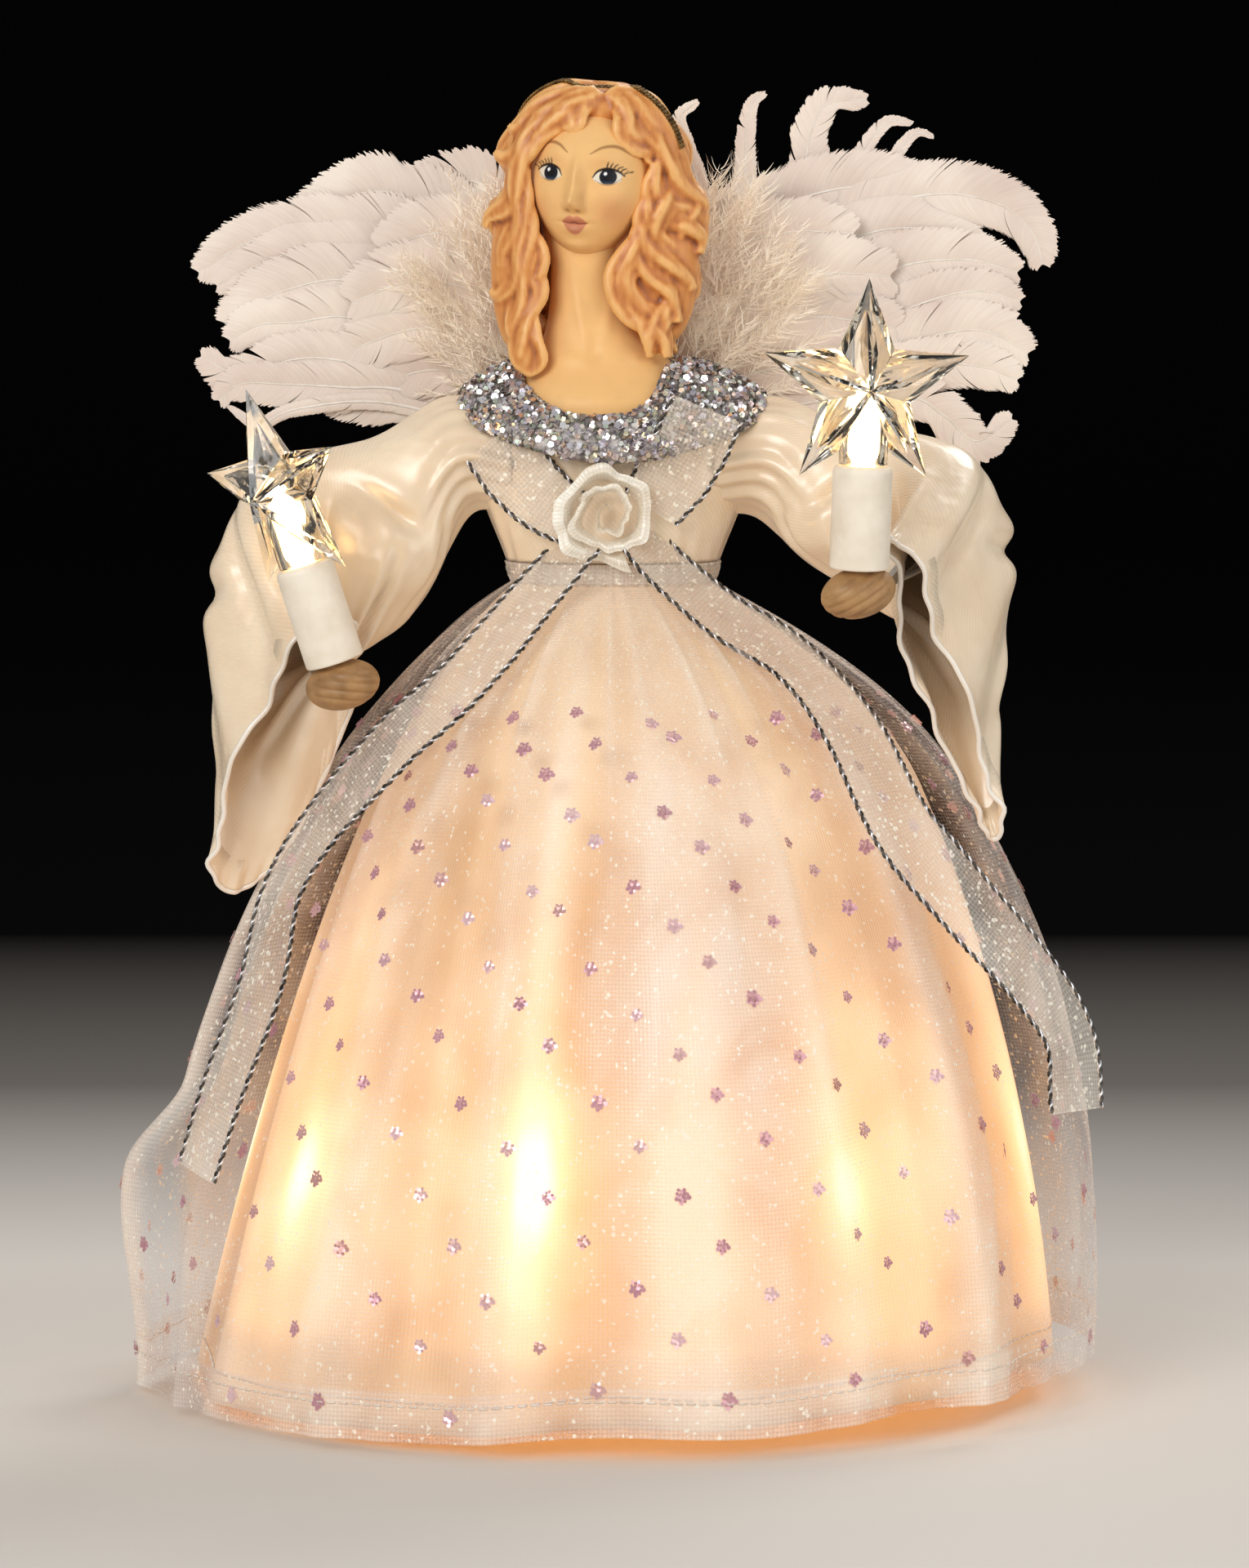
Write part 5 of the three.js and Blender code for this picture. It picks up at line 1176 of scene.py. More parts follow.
def collar_grid(lift=0.0):
    """A padded band round a deep neck opening that dips left of the front, ending behind the shoulders."""
    turn = np.linspace(-132, 132, 150)
    angle = FRONT + np.radians(turn)
    to_front = np.maximum(0, -np.sin(angle)) ** 2
    high = 185.4 + 9 * np.where(turn > 0, smoothstep(turn, 4, 60), smoothstep(-turn, 22, 92))
    rows = np.array(CHEST)
    wide, deep, aside, back = sampled(high, rows[:, 0], rows[:, 1:]).T
    inner = polar(angle, oval(angle, wide + 0.6, deep + 0.6, NECK_POWER), high)
    inner = inner + np.stack([aside, back, 0 * back], axis=1)
    outer = polar(angle, oval(angle, 29, 19.6), 185.1 + 2 - 10.5 * to_front ** 0.5)
    fall = outer - inner
    around = np.stack([-np.sin(angle), np.cos(angle), 0 * angle], axis=1)
    out = -unit(np.cross(around, fall))
    out = np.where(out[:, 2:] < 0, -out, out)
    rows = []
    for turn in np.linspace(0, TAU, 20, endpoint=False):
        share, rise = 0.5 - 0.5 * math.cos(turn), math.sin(turn)
        rows.append(inner + fall * share + out * (2.5 * max(rise, 0) ** 0.7 + 0.3 * min(rise, 0) + lift))
    return np.stack(rows, axis=1)


grid = collar_grid()
collar_faces = flat_ended_faces(*grid.shape[:2])
collar = make_piece("collar_net", grid.reshape(-1, 3), collar_faces, COLLAR_NET)
surface = bmesh.new()
surface.from_mesh(collar.data)
bmesh.ops.recalc_face_normals(surface, faces=surface.faces)
surface.to_mesh(collar.data)
surface.free()
dress(collar, "glitter", "glitter_collar")
flakes = make_piece("collar_flakes", collar_grid(lift=0.4).reshape(-1, 3), collar_faces, None)
baked(flakes, SCATTER, Density=FLAKES_PER_M2, Flake=FLAKE_RADIUS, Seed=5, Material=COLLAR_FILM)
flakes.data.shade_flat()
dress(flakes, "glitter")


# Bust, face and hair

# The head looks a little to the left and leans a little to the right
HEAD = np.array([-4.0, -2.2, 228.7])
TO_HEAD = np.array(Matrix.Rotation(math.radians(-14), 3, "Z") @ Matrix.Rotation(math.radians(4.5), 3, "Y"))


# Each swelling or hollow of the face: how far it stands out, and its middle and reach, across and up.
# In order: brows, sockets, eyeballs, lids, bridge and tip of the nose, nostrils, the lip and its groove, both
# lips, the mouth, the dip under it, chin and cheeks
FACE_RELIEF = (
    (0.4, 4.9, 3.6, 5.4, 1.9), (-1.2, 5.2, 2.9, 1.7, 2.4), (0.75, 5.5, 2.1, 1.5, 1.5),
    (0.2, 5.5, 2.5, 3.3, 0.42), (2.0, 0, 1.05, 1.0, 3.6), (3.6, 0, 1.35, -3.4, 1.9),
    (1.0, 1.5, 0.75, -4.2, 0.9), (-0.25, 0, 2.0, -5.5, 0.7), (-0.15, 0, 0.5, -5.9, 0.6),
    (0.75, 0, 2.3, -6.5, 0.8), (0.9, 0, 2.0, -8.3, 1.0), (-0.55, 0, 2.4, -7.3, 0.3),
    (-0.3, 0, 2.6, -10.4, 0.9), (0.8, 0, 3.2, -12.0, 2.2), (0.6, 6.2, 3.4, -5.0, 4.0))


def face_relief(x, z):
    """How far the face stands out, in millimetres, from its plain oval."""
    return sum(out * bump_at((np.abs(x) - across) / wide, (z - up) / tall)
               for out, across, wide, up, tall in FACE_RELIEF)


def head_shape(sides=260):
    """Points and faces of the head, in its own frame: rings about the way it looks, closest over the face."""
    ring = np.concatenate([np.linspace(0.012, 1.05, 112), np.linspace(1.08, math.pi - 0.05, 36)])[:, None]
    turn = full_turn(sides)[None, :]
    x = 11.5 * np.sin(ring) * np.cos(turn)
    z = 14.3 * np.sin(ring) * np.sin(turn)
    y = -12.4 * np.cos(ring) + 0 * turn
    x = x * (1 - 0.2 * smoothstep(-z, 1, 14.5) - 0.05 * smoothstep(z, 6, 14))
    y = y - face_relief(x, z) * smoothstep(1.25 - ring, 0, 0.3)
    points = np.stack([x, y, z], axis=-1)
    ends = [points[0].mean(axis=0), points[-1].mean(axis=0)]
    return np.vstack([points.reshape(-1, 3), ends]), pointed_faces(len(ring), sides)


def neck_and_chest(rows=60, sides=120):
    """Points and faces of the neck and the bare chest inside the collar."""
    angle = full_turn(sides)
    line = smooth_line(CHEST, rows)
    loops = [polar(angle, oval(angle, w, d, NECK_POWER), z) + [dx, dy, 0] for z, w, d, dx, dy in line]
    points = np.vstack(loops + [line[[0, -1]][:, [3, 4, 0]]])
    # Collar bones and the hollow between them
    x, z = points[:, 0], points[:, 2]
    front = smoothstep(-points[:, 1], 3, 9)
    aside = np.abs(x + 3.4)
    relief = (0.5 * bump_at((z - 195.5 - 0.1 * aside) / 1.2, (aside - 6) / 4.5)
              - 0.7 * bump_at(aside / 1.7, (z - 196.5) / 1.9)
              + 0.5 * bump_at((aside - 3.0 - 0.2 * (z - 205)) / 1.1, (z - 205) / 8))
    points[:, 1] -= relief * front
    return points, pointed_faces(rows, sides)


def soft_edge(distance, blur=0.1):
    return smoothstep(-distance, -blur, blur)


def stroke(x, z, line, thick):
    """Cover of a brush stroke through points, thinner at its ends."""
    line = smooth_line(line, 24)
    far = np.full(x.shape, 9.0)
    for i, (a, b) in enumerate(zip(line, line[1:])):
        step, dx, dz = b - a, x - a[0], z - a[1]
        along = np.clip((dx * step[0] + dz * step[1]) / max(step @ step, 1e-9), 0, 1)
        gap = np.hypot(dx - along * step[0], dz - along * step[1])
        far = np.minimum(far, gap - thick * math.sin(math.pi * (0.12 + 0.76 * i / len(line))))
    return soft_edge(far)


# The line of the mouth, and the middle of each eye, from the middle of the head
MOUTH, EYE_ASIDE, EYE_UP = -7.3, 5.5, 1.6
LASH, BROW = "#22140d", "#8a5428"


def face_paint(points):
    """The painted face, with some painted shade and highlights, by the place of each point in the head's
    frame.
    """
    x, y, z = ((points - HEAD) @ TO_HEAD).T
    front = ((y < -5) & (z > -16) & (np.abs(x) < 12)).astype(float)
    side = np.abs(x)
    paint = np.tile(np.array(colour("#f4c280")[:3]), (len(points), 1))

    def lay(cover, code):
        nonlocal paint
        cover = np.clip(cover * front, 0, 1)[:, None]
        paint = paint * (1 - cover) + np.array(colour(code)[:3]) * cover

    # Cheeks, lids and the shade under the chin
    left_cheek = 0.3 * bump_at((x + 6.6) / 2.6, (z + 4.6) / 2.4)
    lay(left_cheek + 0.55 * bump_at((x - 6.8) / 2.8, (z + 4.6) / 2.8), "#d98a5e")
    lay(0.3 * bump_at((side - 5.5) / 2.8, (z - 3.8) / 1.4), "#cf9360")
    lay(0.35 * bump_at(x / 4.5, (z + 15) / 2.0), "#c98a58")
    # Lips
    upper = MOUTH + 1.5 * (1 - (side / 2.5) ** 2) - 0.35 * bump_at(x / 0.45)
    lower = MOUTH - 2.2 * (1 - (side / 2.3) ** 2)
    lay(0.85 * soft_edge(np.maximum(np.maximum(z - upper, lower - z), side - 2.5), 0.2), "#cf7d63")
    parting = [(-2.4, -7.2), (-0.9, -7.4), (0, -7.25), (0.9, -7.4), (2.4, -7.2)]
    lay(0.85 * stroke(x, z, parting, 0.15), "#7d3a2a")
    # A painted highlight on the lower lip
    lay(0.4 * bump_at(x / 0.9, (z + 8.4) / 0.35), "#f3c0a4")
    for way in (-1, 1):
        # Nostrils painted dark as the shade in them, and painted shade beside the nose, heavier on the right
        # as seen from the front
        lay(0.7 * bump_at((x - way * 0.95) / 0.45, (z + 5.0) / 0.3), "#7d4026")
        lay((0.32 + 0.12 * way) * bump_at((x - way * 1.75) / 0.6, (z + 1.8) / 3.0), "#bd8450")
        dx, dz = (x - way * EYE_ASIDE) * way, z - EYE_UP
        top = 1.55 * np.sqrt(np.clip(1 - (dx / 2.5) ** 2, 0, 1)) + 0.1 * dx
        under = -0.8 * top - 0.05 - dz + 0.1 * dx
        opening = soft_edge(np.maximum(np.maximum(dz - top, under), np.abs(dx) - 2.4))
        lay(opening, "#efe6d2")
        looking = dx - 0.15 * way
        lay(opening * soft_edge(np.hypot(looking, dz - 0.1) - 1.5), "#0d131e")
        # A painted reflection: lighter blue-grey low in the iris
        lay(0.35 * opening * bump_at(looking / 0.9, (dz + 0.95) / 0.3), "#47617c")
        lay(opening * soft_edge(np.hypot(looking, dz - 0.1) - 0.85), "#06080c")
        # A painted highlight in each eye, up and to the left of the pupil as seen from the front
        lay(soft_edge(np.hypot(looking * way + 0.5, dz - 0.65) - 0.3, 0.08), "#ffffff")

        def beside(*line):
            return [(way * (EYE_ASIDE + u), EYE_UP + v) for u, v in line]

        lay(stroke(x, z, beside((-2.5, -0.2), (-1.7, 1.0), (0, 1.62), (1.7, 1.25), (2.8, 0.5)), 0.26), LASH)
        lower_lid = beside((-2.1, -0.6), (-0.6, -1.35), (1.0, -1.2), (2.4, -0.1))
        lay(0.6 * stroke(x, z, lower_lid, 0.12), "#7a4a2c")
        for lash in range(6):
            u = -0.2 + 0.55 * lash
            foot = 1.6 - 0.045 * lash ** 2
            tip = (u + 0.25 + 0.24 * lash, foot + 1.25 - 0.09 * lash)
            lay(stroke(x, z, beside((u, foot), (u + 0.1 + 0.1 * lash, foot + 0.7), tip), 0.13), LASH)
        lay(0.7 * stroke(x, z, beside((-3.3, 4.1), (-1.2, 5.5), (1.2, 5.7), (3.8, 4.2)), 0.3), BROW)
    return paint


def make_bust():
    points, faces = neck_and_chest()
    piece = make_piece("painted_bust", points, faces, SKIN)
    head_points, head_faces = head_shape()
    combined(piece, head_points @ TO_HEAD.T + HEAD, head_faces, "UNION")
    paint = face_paint(read(piece.data.vertices, "co", 3) / MM)
    mark(piece.data, "paint", np.column_stack([paint, np.ones(len(paint))]), "FLOAT_COLOR")
    return soften(piece, 60)


dress(make_bust(), "painted_skin", "bust")


HAIR_ASIDE, EAR_LEVEL = -3.0, 228.3


def on_scalp(turn, rise, lift):
    """A point on the skull under the hair: its turn from the front, and its rise from level to the crown."""
    flat = np.array([math.sin(turn) * (17.0 + lift), -math.cos(turn) * (14.6 + lift), 0]) * math.cos(rise)
    return flat @ TO_HEAD.T + [HAIR_ASIDE, 2.2, EAR_LEVEL + (18.6 + lift) * math.sin(rise)]


# Locks about the face, each with its radius and its points of width and height: first those on the left, then
# the two of the fringe, then those on the right
FACE_LOCKS = [
    (2.5, [(-3.0, 245.7), (-8.8, 244.0), (-14.1, 241.8), (-18.0, 239.0), (-19.7, 239.2)]),
    (2.8, [(-3.5, 244.4), (-9.3, 242.0), (-13.6, 238.9), (-17.5, 234.6), (-20.6, 233.5), (-22.3, 234.2)]),
    (2.6, [(-6.6, 244.1), (-12.7, 241.4), (-16.9, 236.8), (-18.2, 231.2), (-19.5, 225.6), (-23.4, 223.0),
           (-24.4, 220.5)]),
    (2.4, [(-16.7, 238.4), (-18.4, 232.6), (-18.9, 227.2), (-18.6, 221.5), (-21.0, 216.6), (-21.2, 213.3)]),
    (2.6, [(-17.0, 231.5), (-17.7, 225.4), (-17.7, 220.6), (-18.6, 215.8), (-19.1, 211.0), (-21.5, 208.0),
           (-23.2, 208.3)]),
    (2.6, [(-17.0, 227.2), (-16.8, 221.1), (-17.3, 215.9), (-17.7, 211.1), (-18.1, 206.9), (-19.5, 202.0),
           (-18.6, 199.3)]),
    (2.5, [(-16.8, 221.1), (-14.8, 216.0), (-15.3, 211.2), (-14.4, 208.4), (-16.8, 203.6), (-18.1, 199.3),
           (-18.2, 195.6), (-15.3, 192.8)]),
    (1.8, [(-17.7, 206.5), (-15.8, 202.7), (-14.6, 199.0), (-13.9, 195.6), (-15.8, 192.7)]),
    (1.7, [(-2.0, 245.3), (-4.9, 244.1), (-6.4, 241.3), (-7.3, 239.1), (-8.8, 239.3)]),
    (2.1, [(-3.0, 245.8), (-7.8, 244.1), (-9.8, 241.3), (-11.7, 240.4), (-14.1, 238.0)]),
    (2.2, [(-1.1, 245.8), (1.4, 244.1), (2.8, 241.3), (2.8, 238.1), (4.8, 235.8), (7.2, 234.8),
           (6.7, 232.5)]),
    (2.5, [(-0.1, 246.0), (4.3, 243.5), (6.7, 239.9), (9.6, 236.1), (9.1, 232.5), (7.2, 231.1)]),
    (2.8, [(1.8, 245.7), (6.7, 243.0), (10.1, 238.8), (12.0, 233.7), (13.9, 228.9), (17.8, 224.8)]),
    (3.0, [(8.9, 232.5), (8.4, 227.3), (10.3, 224.4), (14.2, 222.8), (17.1, 219.3), (16.8, 215.5)]),
    (3.0, [(7.4, 227.3), (6.9, 222.6), (8.4, 218.8), (11.8, 214.9), (14.7, 210.9), (15.4, 209.0)]),
    (2.8, [(6.7, 223.6), (6.0, 218.8), (7.4, 214.2), (11.3, 209.7), (12.2, 205.4), (12.7, 202.6)]),
    (2.9, [(6.8, 220.8), (3.8, 215.1), (1.9, 210.9), (3.8, 205.7), (7.7, 202.8), (10.1, 199.4),
           (10.6, 196.0)]),
    (2.4, [(5.8, 217.0), (3.4, 212.3), (3.4, 208.5), (6.3, 203.7), (6.8, 199.4), (7.2, 196.1)]),
    (2.3, [(10.6, 206.4), (9.6, 202.7), (7.7, 199.0), (6.7, 196.1)]),
]


def face_lock_line(points):
    """A lock's line on the front of the hair, over the head and hanging below it."""
    flat = smooth_line(points, 44)
    x, z = flat[:, 0], flat[:, 1]
    bulge = 1 - ((x + 3) / 21.8) ** 2 - (np.maximum(0, z - 229.5) / 20.8) ** 2
    y = -0.6 - 8.4 * np.sqrt(np.maximum(0.02, bulge)) - 3.4 * bump_at((z - 239) / 7) * bump_at((x + 3) / 10)
    y = y - 1.6 * smoothstep(208 - z, 0, 12)
    return np.stack([x, y, z], axis=1)


def side_lock_lines():
    """Lines and radii of the locks at the sides and back: from the parting, over the skull, down in waves."""
    rng = np.random.default_rng(77)
    locks = []
    for layer, lift, count, girth in ((0, -1.6, 24, 3.3), (1, 0.6, 22, 2.4)):
        for k in range(count):
            share = (k + 0.5 * layer + rng.uniform(-0.15, 0.15)) / count
            way = 1 if share < 0.5 else -1
            nearness = (share if way > 0 else 1 - share) * 2
            turn = way * math.radians(72 + 12 * layer + (108 - 12 * layer) * nearness)
            parting = way * math.radians(10 + 150 * nearness)
            line = [on_scalp((1 - share) * parting + share * turn, math.radians(rise), lift + more)
                    for share, rise, more in ((0, 84, -1), (0.5, 66, 0), (0.85, 40, 0.4), (1, 12, 0.4))]
            foot = 197 + 5 * nearness + rng.uniform(-3, 6)
            for fall in (0.3, 0.6, 0.85, 1.0):
                out = lift + 1.4 * bump_at((fall - 0.4) / 0.3) - 4.0 * fall ** 2.5
                drop = on_scalp(turn * (1 - 0.04 * fall), 0, out)
                drop[2] = EAR_LEVEL + (foot - EAR_LEVEL) * fall
                line.append(drop)
            line = smooth_line(line, 60)
            u = np.linspace(0, 1, 60)
            swing = TAU * (line[:, 2] - (235 if way < 0 else 224)) / 13.5 + rng.uniform(-0.5, 0.5)
            reach = (0.3 + 1.8 * smoothstep(u, 0.2, 0.6)) * (0.7 + 0.3 * layer)
            tangent = np.array([math.cos(turn), math.sin(turn), 0]) @ TO_HEAD.T
            outward = np.array([math.sin(turn), -math.cos(turn), 0]) @ TO_HEAD.T
            line = line + np.outer(reach * np.sin(swing), tangent) + np.outer(reach * np.cos(swing), outward)
            locks.append((line, girth))
    return locks


def bundle(line, girth):
    """A lock as a flat bundle of four finer strands that sway a little and taper at both ends."""
    along = way_along(line)
    out = square_to(unit((line - [HAIR_ASIDE, 4.0, 0]) * [1, 1, 0]), along)
    across = np.cross(along, out)
    u = np.linspace(0, 1, len(line))
    taper = (0.6 + 0.4 * smoothstep(u, 0, 0.25)) * (1 - 0.62 * smoothstep(u, 0.68, 1))
    tubes = []
    for k in (-1.5, -0.5, 0.5, 1.5):
        sway = (0.5 * k + 0.12 * np.sin(9 * u + 2.3 * k)) * girth * taper
        rise = (-0.11 * k * k + 0.14 * np.sin(7 * u + 1.7 * k)) * girth * taper
        tubes.append(tube(line + across * sway[:, None] + out * rise[:, None], 0.43 * girth * taper, 8))
    return tubes


HAIR_VOXEL = 0.45 * MM
# Reach and place of the balls that fill the hair between the locks
HAIR_FILLERS = (
    ((13.0, 5.5, 20.0), (-3.0, 7.0, 212.0)), ((7.0, 5.2, 15.0), (9.2, -2.6, 213.0)),
    ((4.8, 4.8, 16.0), (-18.2, -1.8, 213.0)), ((2.0, 1.8, 4.5), (-16.0, -8.0, 197.0)),
    ((4.5, 3.6, 9.0), (10.4, -4.4, 229.0)), ((4.2, 3.0, 9.0), (6.6, -5.4, 210.5)),
    ((7.5, 7.0, 4.0), (-2.4, 3.4, 244.0)), ((11.0, 5.0, 4.0), (-3.0, -3.6, 242.6)))


def make_hair():
    """All the locks melted into one moulding, smoothed, with its grooves marked for the painted shade."""
    skull, faces = ball((0, 0, 0), 1, 48)
    parts = [(skull * reach + place, faces) for reach, place in HAIR_FILLERS]
    skull = skull * [17.2, 14.0, 17.2]
    cut = skull[:, 1] < -6.0
    skull[cut, 1] = -6.0 + 0.15 * (skull[cut, 1] + 6.0)
    parts.insert(0, (skull @ TO_HEAD.T + [HAIR_ASIDE, 3.2, 228.2], faces))
    for line, girth in [(face_lock_line(points), girth) for girth, points in FACE_LOCKS] + side_lock_lines():
        parts += bundle(line, girth)
    piece = make_piece("wavy_hair", *joined(parts), HAIR)
    melt = piece.modifiers.new("melt", "REMESH")
    melt.mode, melt.voxel_size = "VOXEL", HAIR_VOXEL
    even = piece.modifiers.new("even", "SMOOTH")
    even.factor, even.iterations = 0.5, 2
    mesh = settled(piece)
    at, normal = (read(mesh.vertices, field, 3) for field in ("co", "normal"))
    edges = read(mesh.edges, "vertices", 2, int).T
    links = np.bincount(edges.ravel(), minlength=len(at))

    def round_about(values):
        """The mean of the values at each point's neighbours."""
        total = np.zeros_like(values)
        for a, b in (edges, edges[::-1]):
            np.add.at(total, a, values[b])
        return (total.T / np.maximum(links, 1)).T

    hollow = ((round_about(at) - at) * normal).sum(axis=1) / HAIR_VOXEL
    for _ in range(3):
        hollow = 0.5 * hollow + 0.5 * round_about(hollow)
    mark(mesh, "groove", np.clip(0.62 - 5.0 * hollow, 0, 1))
    mesh.shade_smooth()
    return piece


hair = dress(make_hair(), "painted_hair", "moulded_hair")


def band_line(count=90):
    """A line over the crown, laid on the hair, from above the left temple down behind the right one."""
    middle = Vector((HAIR_ASIDE, 3.2, 229.0)) * MM
    bpy.context.view_layer.update()
    line = []
    for turn in np.radians(np.linspace(24, 150, count)):
        c, s = math.cos(turn), math.sin(turn)
        way = Vector(np.array([c, -0.3 * s - 0.2 * c, s]) @ TO_HEAD.T).normalized()
        hit, place, _, _ = hair.ray_cast(middle + way * 0.06, -way)
        line.append(np.array(place if hit else middle + way * 0.02) / MM + np.array(way) * 0.2)
    line = np.array(line)
    for _ in range(6):
        line[1:-1] = (line[:-2] + 2 * line[1:-1] + line[2:]) / 4
    return line


def make_headband():
    """Two thin gilt cords, each of two twisted strands, side by side over the crown."""
    base = smooth_line(band_line(), 260)
    along = way_along(base)
    out = unit(base - [HAIR_ASIDE, 3.2, 226])
    across = np.cross(along, out)
    u = (np.arange(260) * TAU / 9)[:, None]
    lines = [base + across * (gap + 0.2 * np.cos(u + p)) + out * 0.2 * np.sin(u + p)
             for gap in (-0.42, 0.42) for p in (0, math.pi)]
    return strands("gilt_cords", lines, [0.23] * 4, GILT, 6)


dress(make_headband(), "gilt_band", "headband")


# Wings

# Each feather: its width, how far back it lies, and its quill's points after the root. Five coverts come last
FEATHERS = {
    "left": [
        (14, 5.0, [(-21.5, 219.4), (-24, 227.4), (-30.8, 229), (-37.8, 226), (-41.7, 219.4)]),
        (17, 4.4, [(-28.4, 217.4), (-38.3, 225), (-45.7, 227), (-53.6, 224.5), (-62, 219.5)]),
        (16, 3.8, [(-36, 214), (-48.2, 219.5), (-60.6, 219.5), (-70.4, 217), (-79.5, 211.5)]),
        (14, 3.2, [(-38, 211), (-55.6, 216), (-65.4, 214), (-76, 209)]),
        (18, 2.6, [(-33, 204), (-50.7, 210), (-63, 208), (-69, 205), (-74, 201.5)]),
        (15, 2.0, [(-34, 199), (-50.7, 203), (-60.6, 202), (-67.9, 201.5), (-73.5, 198.5)]),
        (13, 1.4, [(-38, 191), (-51.2, 194.6), (-60.6, 195), (-71.5, 192.1), (-79, 195.5)]),
        (12, 0.8, [(-38, 188.5), (-50.7, 189.6), (-63, 190.2), (-71.5, 190.2), (-75.5, 187)]),
        (11, 0.3, [(-34, 186), (-45.7, 186.5), (-55, 186.7)]),
        (4, 0.0, [(-42, 186.5), (-60, 185.6), (-67.9, 182.8), (-73.8, 186)]),
        (18, -2, [(-20, 212), (-32, 219), (-44, 216)]), (19, -1.6, [(-22, 204), (-36, 210), (-50, 206)]),
        (18, -1.2, [(-22, 197), (-36, 201), (-50, 197)]), (16, -0.8, [(-22, 190), (-34, 193), (-46, 190)]),
        (14, -0.4, [(-16, 212), (-20, 222), (-29, 224)])],
    "right": [
        (5.4, 5.4, [(15.5, 215), (16.4, 226.7), (14.4, 234.3), (12.7, 240.7), (16.3, 244.3)]),
        (5.8, 5.0, [(20, 212), (24.8, 227.8), (25.4, 237), (26.5, 243.5), (29.2, 245.7)]),
        (10, 5.6, [(27, 212), (36, 229), (37.6, 237), (40.8, 243.5), (48.6, 244.6)]),
        (5.0, 5.2, [(30, 212), (45, 230.8), (49.4, 237), (52.7, 240.3), (57.5, 240)]),
        (4.6, 4.8, [(34, 212), (51.5, 230), (54.9, 235), (58, 238.2), (61.5, 237.4)]),
        (3.4, 4.6, [(36, 212), (51, 228), (59.7, 231), (65.6, 230)]),
        (17, 4.0, [(17.6, 213), (31, 223.5), (47, 228), (60.8, 225.5), (69.5, 219.7)]),
        (16, 4.4, [(30, 210), (47, 222.5), (62, 226.5), (74, 224.5), (80.5, 219), (82.4, 213)]),
        (17, 3.2, [(24, 203), (44, 217), (58, 220), (70, 216.5)]),
        (16, 2.6, [(28, 196), (50, 210.8), (66.2, 214), (77.5, 211.5)]),
        (13, 2.0, [(30, 192), (55, 204), (68.8, 208), (78, 206)]),
        (16, 1.5, [(32, 188.5), (55, 197.5), (70, 200.5), (79.5, 196)]),
        (14, 1.0, [(32, 186.5), (58, 193.4), (70, 193.6), (77.5, 191)]),
        (12, 0.4, [(34, 186), (55.3, 188), (63.4, 184.2), (69.5, 179.3), (76.5, 183.5)]),
        (17, -2, [(20, 212), (32, 219), (46, 219)]), (19, -1.6, [(22, 204), (36, 211), (53, 211)]),
        (18, -1.2, [(22, 197), (37, 203), (54, 201)]), (16, -0.8, [(22, 190), (36, 194), (52, 192)]),
        (13, -0.4, [(15, 212), (18, 221), (26, 225)])],
}
WING_ROOT = (12, 178)
WING_BACK, VANE_COLUMNS = 17.6, 9


def quill_line(root, points, back, count=60):
    """A quill's curve from its root through points of width and height, with its tip curling back."""
    flat = smooth_line([root] + points, count)
    return np.stack([flat[:, 0], back + 3.0 * np.linspace(0, 1, count) ** 3, flat[:, 1]], axis=1)


def vane(line, width, rng):
    """Both webs of a feather, swept towards the tip, cupped, and parted here and there into panels.
    Gives points, faces and the UV of every face corner, in metres along the barb and along the quill."""
    along = way_along(line)
    face = square_to(np.array([0, -1, 0]), along)
    across = np.cross(along, face)
    run = run_of(line)[-1]
    place = np.linspace(0, 1, len(line))
    lots, uvs = [], []
    v = np.linspace(0, 1, VANE_COLUMNS)[None, :]
    for way in (-1, 1):
        cuts = [0.12] + sorted(rng.uniform(0.4, 0.95, 3)) + [1.0]
        for low, high in zip(cuts, cuts[1:]):
            rows = 4 + int(40 * (high - low))
            middle, parted = (low + high) / 2, rng.uniform(0.0, 0.09)
            quill = np.linspace(low, high, rows)[:, None]
            s = middle + (quill - middle) * (1 - parted * v ** 2)
            half = width / 2 * smoothstep(s, 0.08, 0.42) * np.sqrt(1 - 0.985 * s ** 5)
            base, a, c, o = (sampled(s, place, q) for q in (line, along, across, face))
            sweep = half * (0.95 * v ** 1.5)
            cup = 0.07 * half * v * (1 - v) * 4 - 0.05 * half * v ** 2 + rng.uniform(-0.25, 0.25) * v ** 2
            points = base + way * c * (half * (v - 0.12 * v ** 2))[..., None]
            points = points + a * sweep[..., None] + o * cup[..., None]
            faces = grid_faces(rows, VANE_COLUMNS, False, flip=way > 0)
            lots.append((points.reshape(-1, 3), faces))
            flat = np.stack([half * v + (60 if way > 0 else 0), s * run + 7 * len(lots)], axis=-1)
            uvs.append(flat.reshape(-1, 2)[faces].reshape(-1, 2))
    edges = np.tile(v, (sum(len(p) for p, _ in lots) // VANE_COLUMNS, 1)).ravel()
    return *joined(lots), np.vstack(uvs) * MM, edges


def make_wing(side):
    rng = np.random.default_rng(11 if side == "left" else 12)
    root = (SIDES[side] * WING_ROOT[0], WING_ROOT[1])
    lines = [(quill_line(root, points, WING_BACK + back), width) for width, back, points in FEATHERS[side]]
    webs = [vane(line, width, rng) for line, width in lines]
    cut = np.vstack([web[2] for web in webs])
    vanes = make_piece(f"{side}_vanes", *joined([web[:2] for web in webs]), VANE, cut)
    mark(vanes.data, "edge", np.concatenate([web[3] for web in webs]))
    quills = strands(f"{side}_quills", [line for line, _ in lines],
                     [0.5 * (1 - 0.8 * np.linspace(0, 1, len(line))) for line, _ in lines], SHAFT, 6)
    return vanes, quills


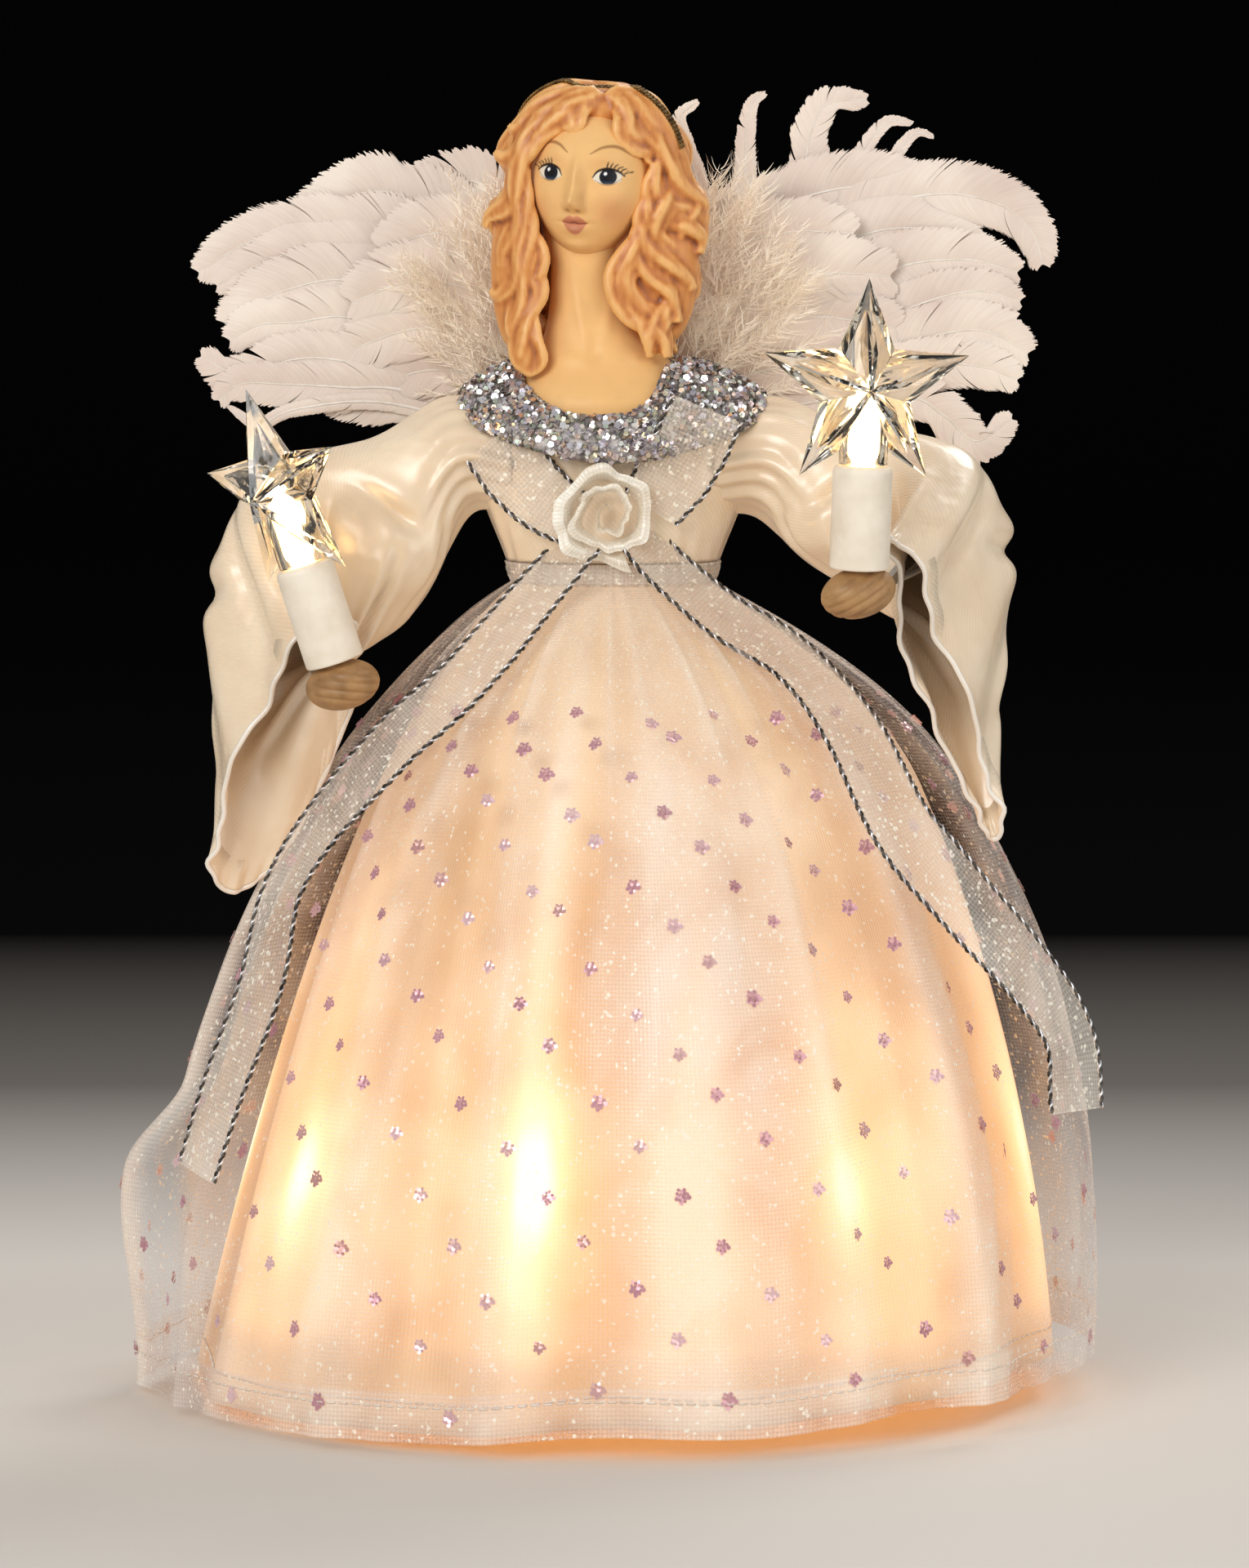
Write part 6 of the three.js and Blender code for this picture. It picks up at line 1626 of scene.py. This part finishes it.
def plume_shape(rng):
    """One small down plume along X: soft barbs to all sides of a short stem."""
    lots = []
    for k in range(30):
        s = k / 30
        spin = rng.uniform(0, TAU)
        side = np.array([0, math.cos(spin), math.sin(spin)])
        length = 5.5 * (1 - 0.5 * s) * rng.uniform(0.7, 1.2)
        curl = np.array([0, -side[2], side[1]]) * rng.uniform(-1, 1)
        stem, ahead = np.array([9 * s, 0, 0]), np.array([1, 0, 0]) * length * 0.8
        line = np.array([stem + (side + curl * 0.5 * v) * length * v * (1 - 0.25 * v) + ahead * v ** 1.5
                         for v in (0, 0.35, 0.7, 1)])
        broad = np.cross(unit(side), [1, 0, 0]) * 0.13
        thin = np.array([1, 0.8, 0.5, 0.1])[:, None]
        points = np.vstack([line - broad * thin, line + broad * thin])
        lots.append((points, [(i, i + 1, i + 5, i + 4) for i in range(3)]))
    return joined(lots)


def make_down(side, count=90):
    """Plumes of down over the root of a wing, beside the hair and the shoulder."""
    rng = np.random.default_rng(21 if side == "left" else 22)
    out = SIDES[side]
    places, facing, heading = [], [], []
    for _ in range(count):
        reach, way = math.sqrt(rng.uniform(0, 1)), rng.uniform(0, TAU)
        x, z = 22 + 12 * reach * math.cos(way), 203 + 22 * reach * math.sin(way)
        lean = unit(np.array([x - 6, 0, z - 178]) + rng.normal(0, 7, 3) * [1, 0.5, 1])
        places.append((out * x, 12.5 + rng.uniform(-1.5, 2), z))
        heading.append((out * lean[0], lean[1] - 0.2, lean[2]))
        facing.append((0.1 * rng.normal(), -1, 0.1 * rng.normal()))
    heading = unit(heading)
    facing = square_to(np.array(facing), heading)
    plume, sizes = plume_shape(rng), rng.uniform(0.75, 1.35, count)
    return repeated(f"{side}_down_plumes", plume, places, facing, heading, sizes, DOWN, 3)


for side in SIDES:
    vanes, quills = make_wing(side)
    dress(vanes, "feather", f"{side}_wing_feathers")
    dress(quills, "feather")
    down = make_down(side)
    down.data.shade_smooth()
    dress(down, "feather", f"{side}_wing_down")


# The parts shown as they were built

SHOWN = {
    CONE_PLASTIC: ["base_cone"], FOAM: ["torso_former"], CARD: ["wing_card"],
    SOCKET: [f"skirt_lamp_holder_{i + 1}" for i in range(SKIRT_LAMPS)],
    LAMP: [f"skirt_lamp_bulb_{i + 1}" for i in range(SKIRT_LAMPS)],
    PVC: ["skirt_lamp_wire", "left_body_lead", "right_body_lead"],
    ZINC: ["left_arm_wire", "right_arm_wire"],
}
for material, nodes in SHOWN.items():
    for node in nodes:
        shown = bpy.data.objects[node]
        shown.data.materials.clear()
        shown.data.materials.append(material)


# Camera, floor and light

def set_stage():
    camera = added("camera", bpy.data.cameras.new("camera"))
    target, away, rise = Vector((0.0022, 0, 0.1151)), 1.4, math.radians(5)
    camera.location = target + away * Vector((0, -math.cos(rise), math.sin(rise)))
    camera.rotation_euler = (target - camera.location).to_track_quat("-Z", "Y").to_euler()
    camera.data.sensor_fit, camera.data.sensor_height, camera.data.lens = "VERTICAL", 36, 169.4
    bpy.context.scene.camera = camera

    # A pale matt paper floor with painted shade that darkens it up the sweep behind, as if the light fell
    # off, so that sheer cloth and feathers stand out
    paper, add = new_material("matt_paper", Roughness=1.0, Specular_IOR_Level=0.0)
    back = add("SeparateXYZ", [add("TexCoord", out="Object")], out="Y")
    tone = add("ValToRGB", [back], [(0.15, "#d8d2ca"), (0.45, "#6a6560"), (0.8, "#0b0a0a")])
    # A floor that curves up into a wall behind
    run = [(-4.0, 0.0), (3.0, 0.0), (3.5, 0.1), (3.8, 0.35), (4.0, 0.8), (4.0, 4.0)]
    points = [(x, y, z) for y, z in run for x in (-4, 4)]
    faces = [(2 * i, 2 * i + 1, 2 * i + 3, 2 * i + 2) for i in range(len(run) - 1)]
    floor = make_piece("floor", np.array(points) / MM, faces, fed(paper, Base_Color=tone))

    world = bpy.data.worlds.new("studio")
    bpy.context.scene.world = world
    world.use_nodes = True
    world.node_tree.nodes["Background"].inputs["Color"].default_value = (1, 1, 1, 1)
    world.node_tree.nodes["Background"].inputs["Strength"].default_value = 0.42
    for name, place, power, size in (("key", (-0.75, -1.35, 0.85), 14, 0.9),
                                     ("fill", (1.2, -0.9, 0.6), 6, 1.1), ("rim", (0.5, 0.9, 1.2), 9, 0.7)):
        lamp = added(name, bpy.data.lights.new(name, "AREA"))
        lamp.data.energy, lamp.data.size = power, size
        lamp.location = place
        lamp.rotation_euler = (Vector((0, 0, 0.12)) - lamp.location).to_track_quat("-Z", "Y").to_euler()
    bpy.context.scene.view_settings.view_transform = "Standard"


set_stage()
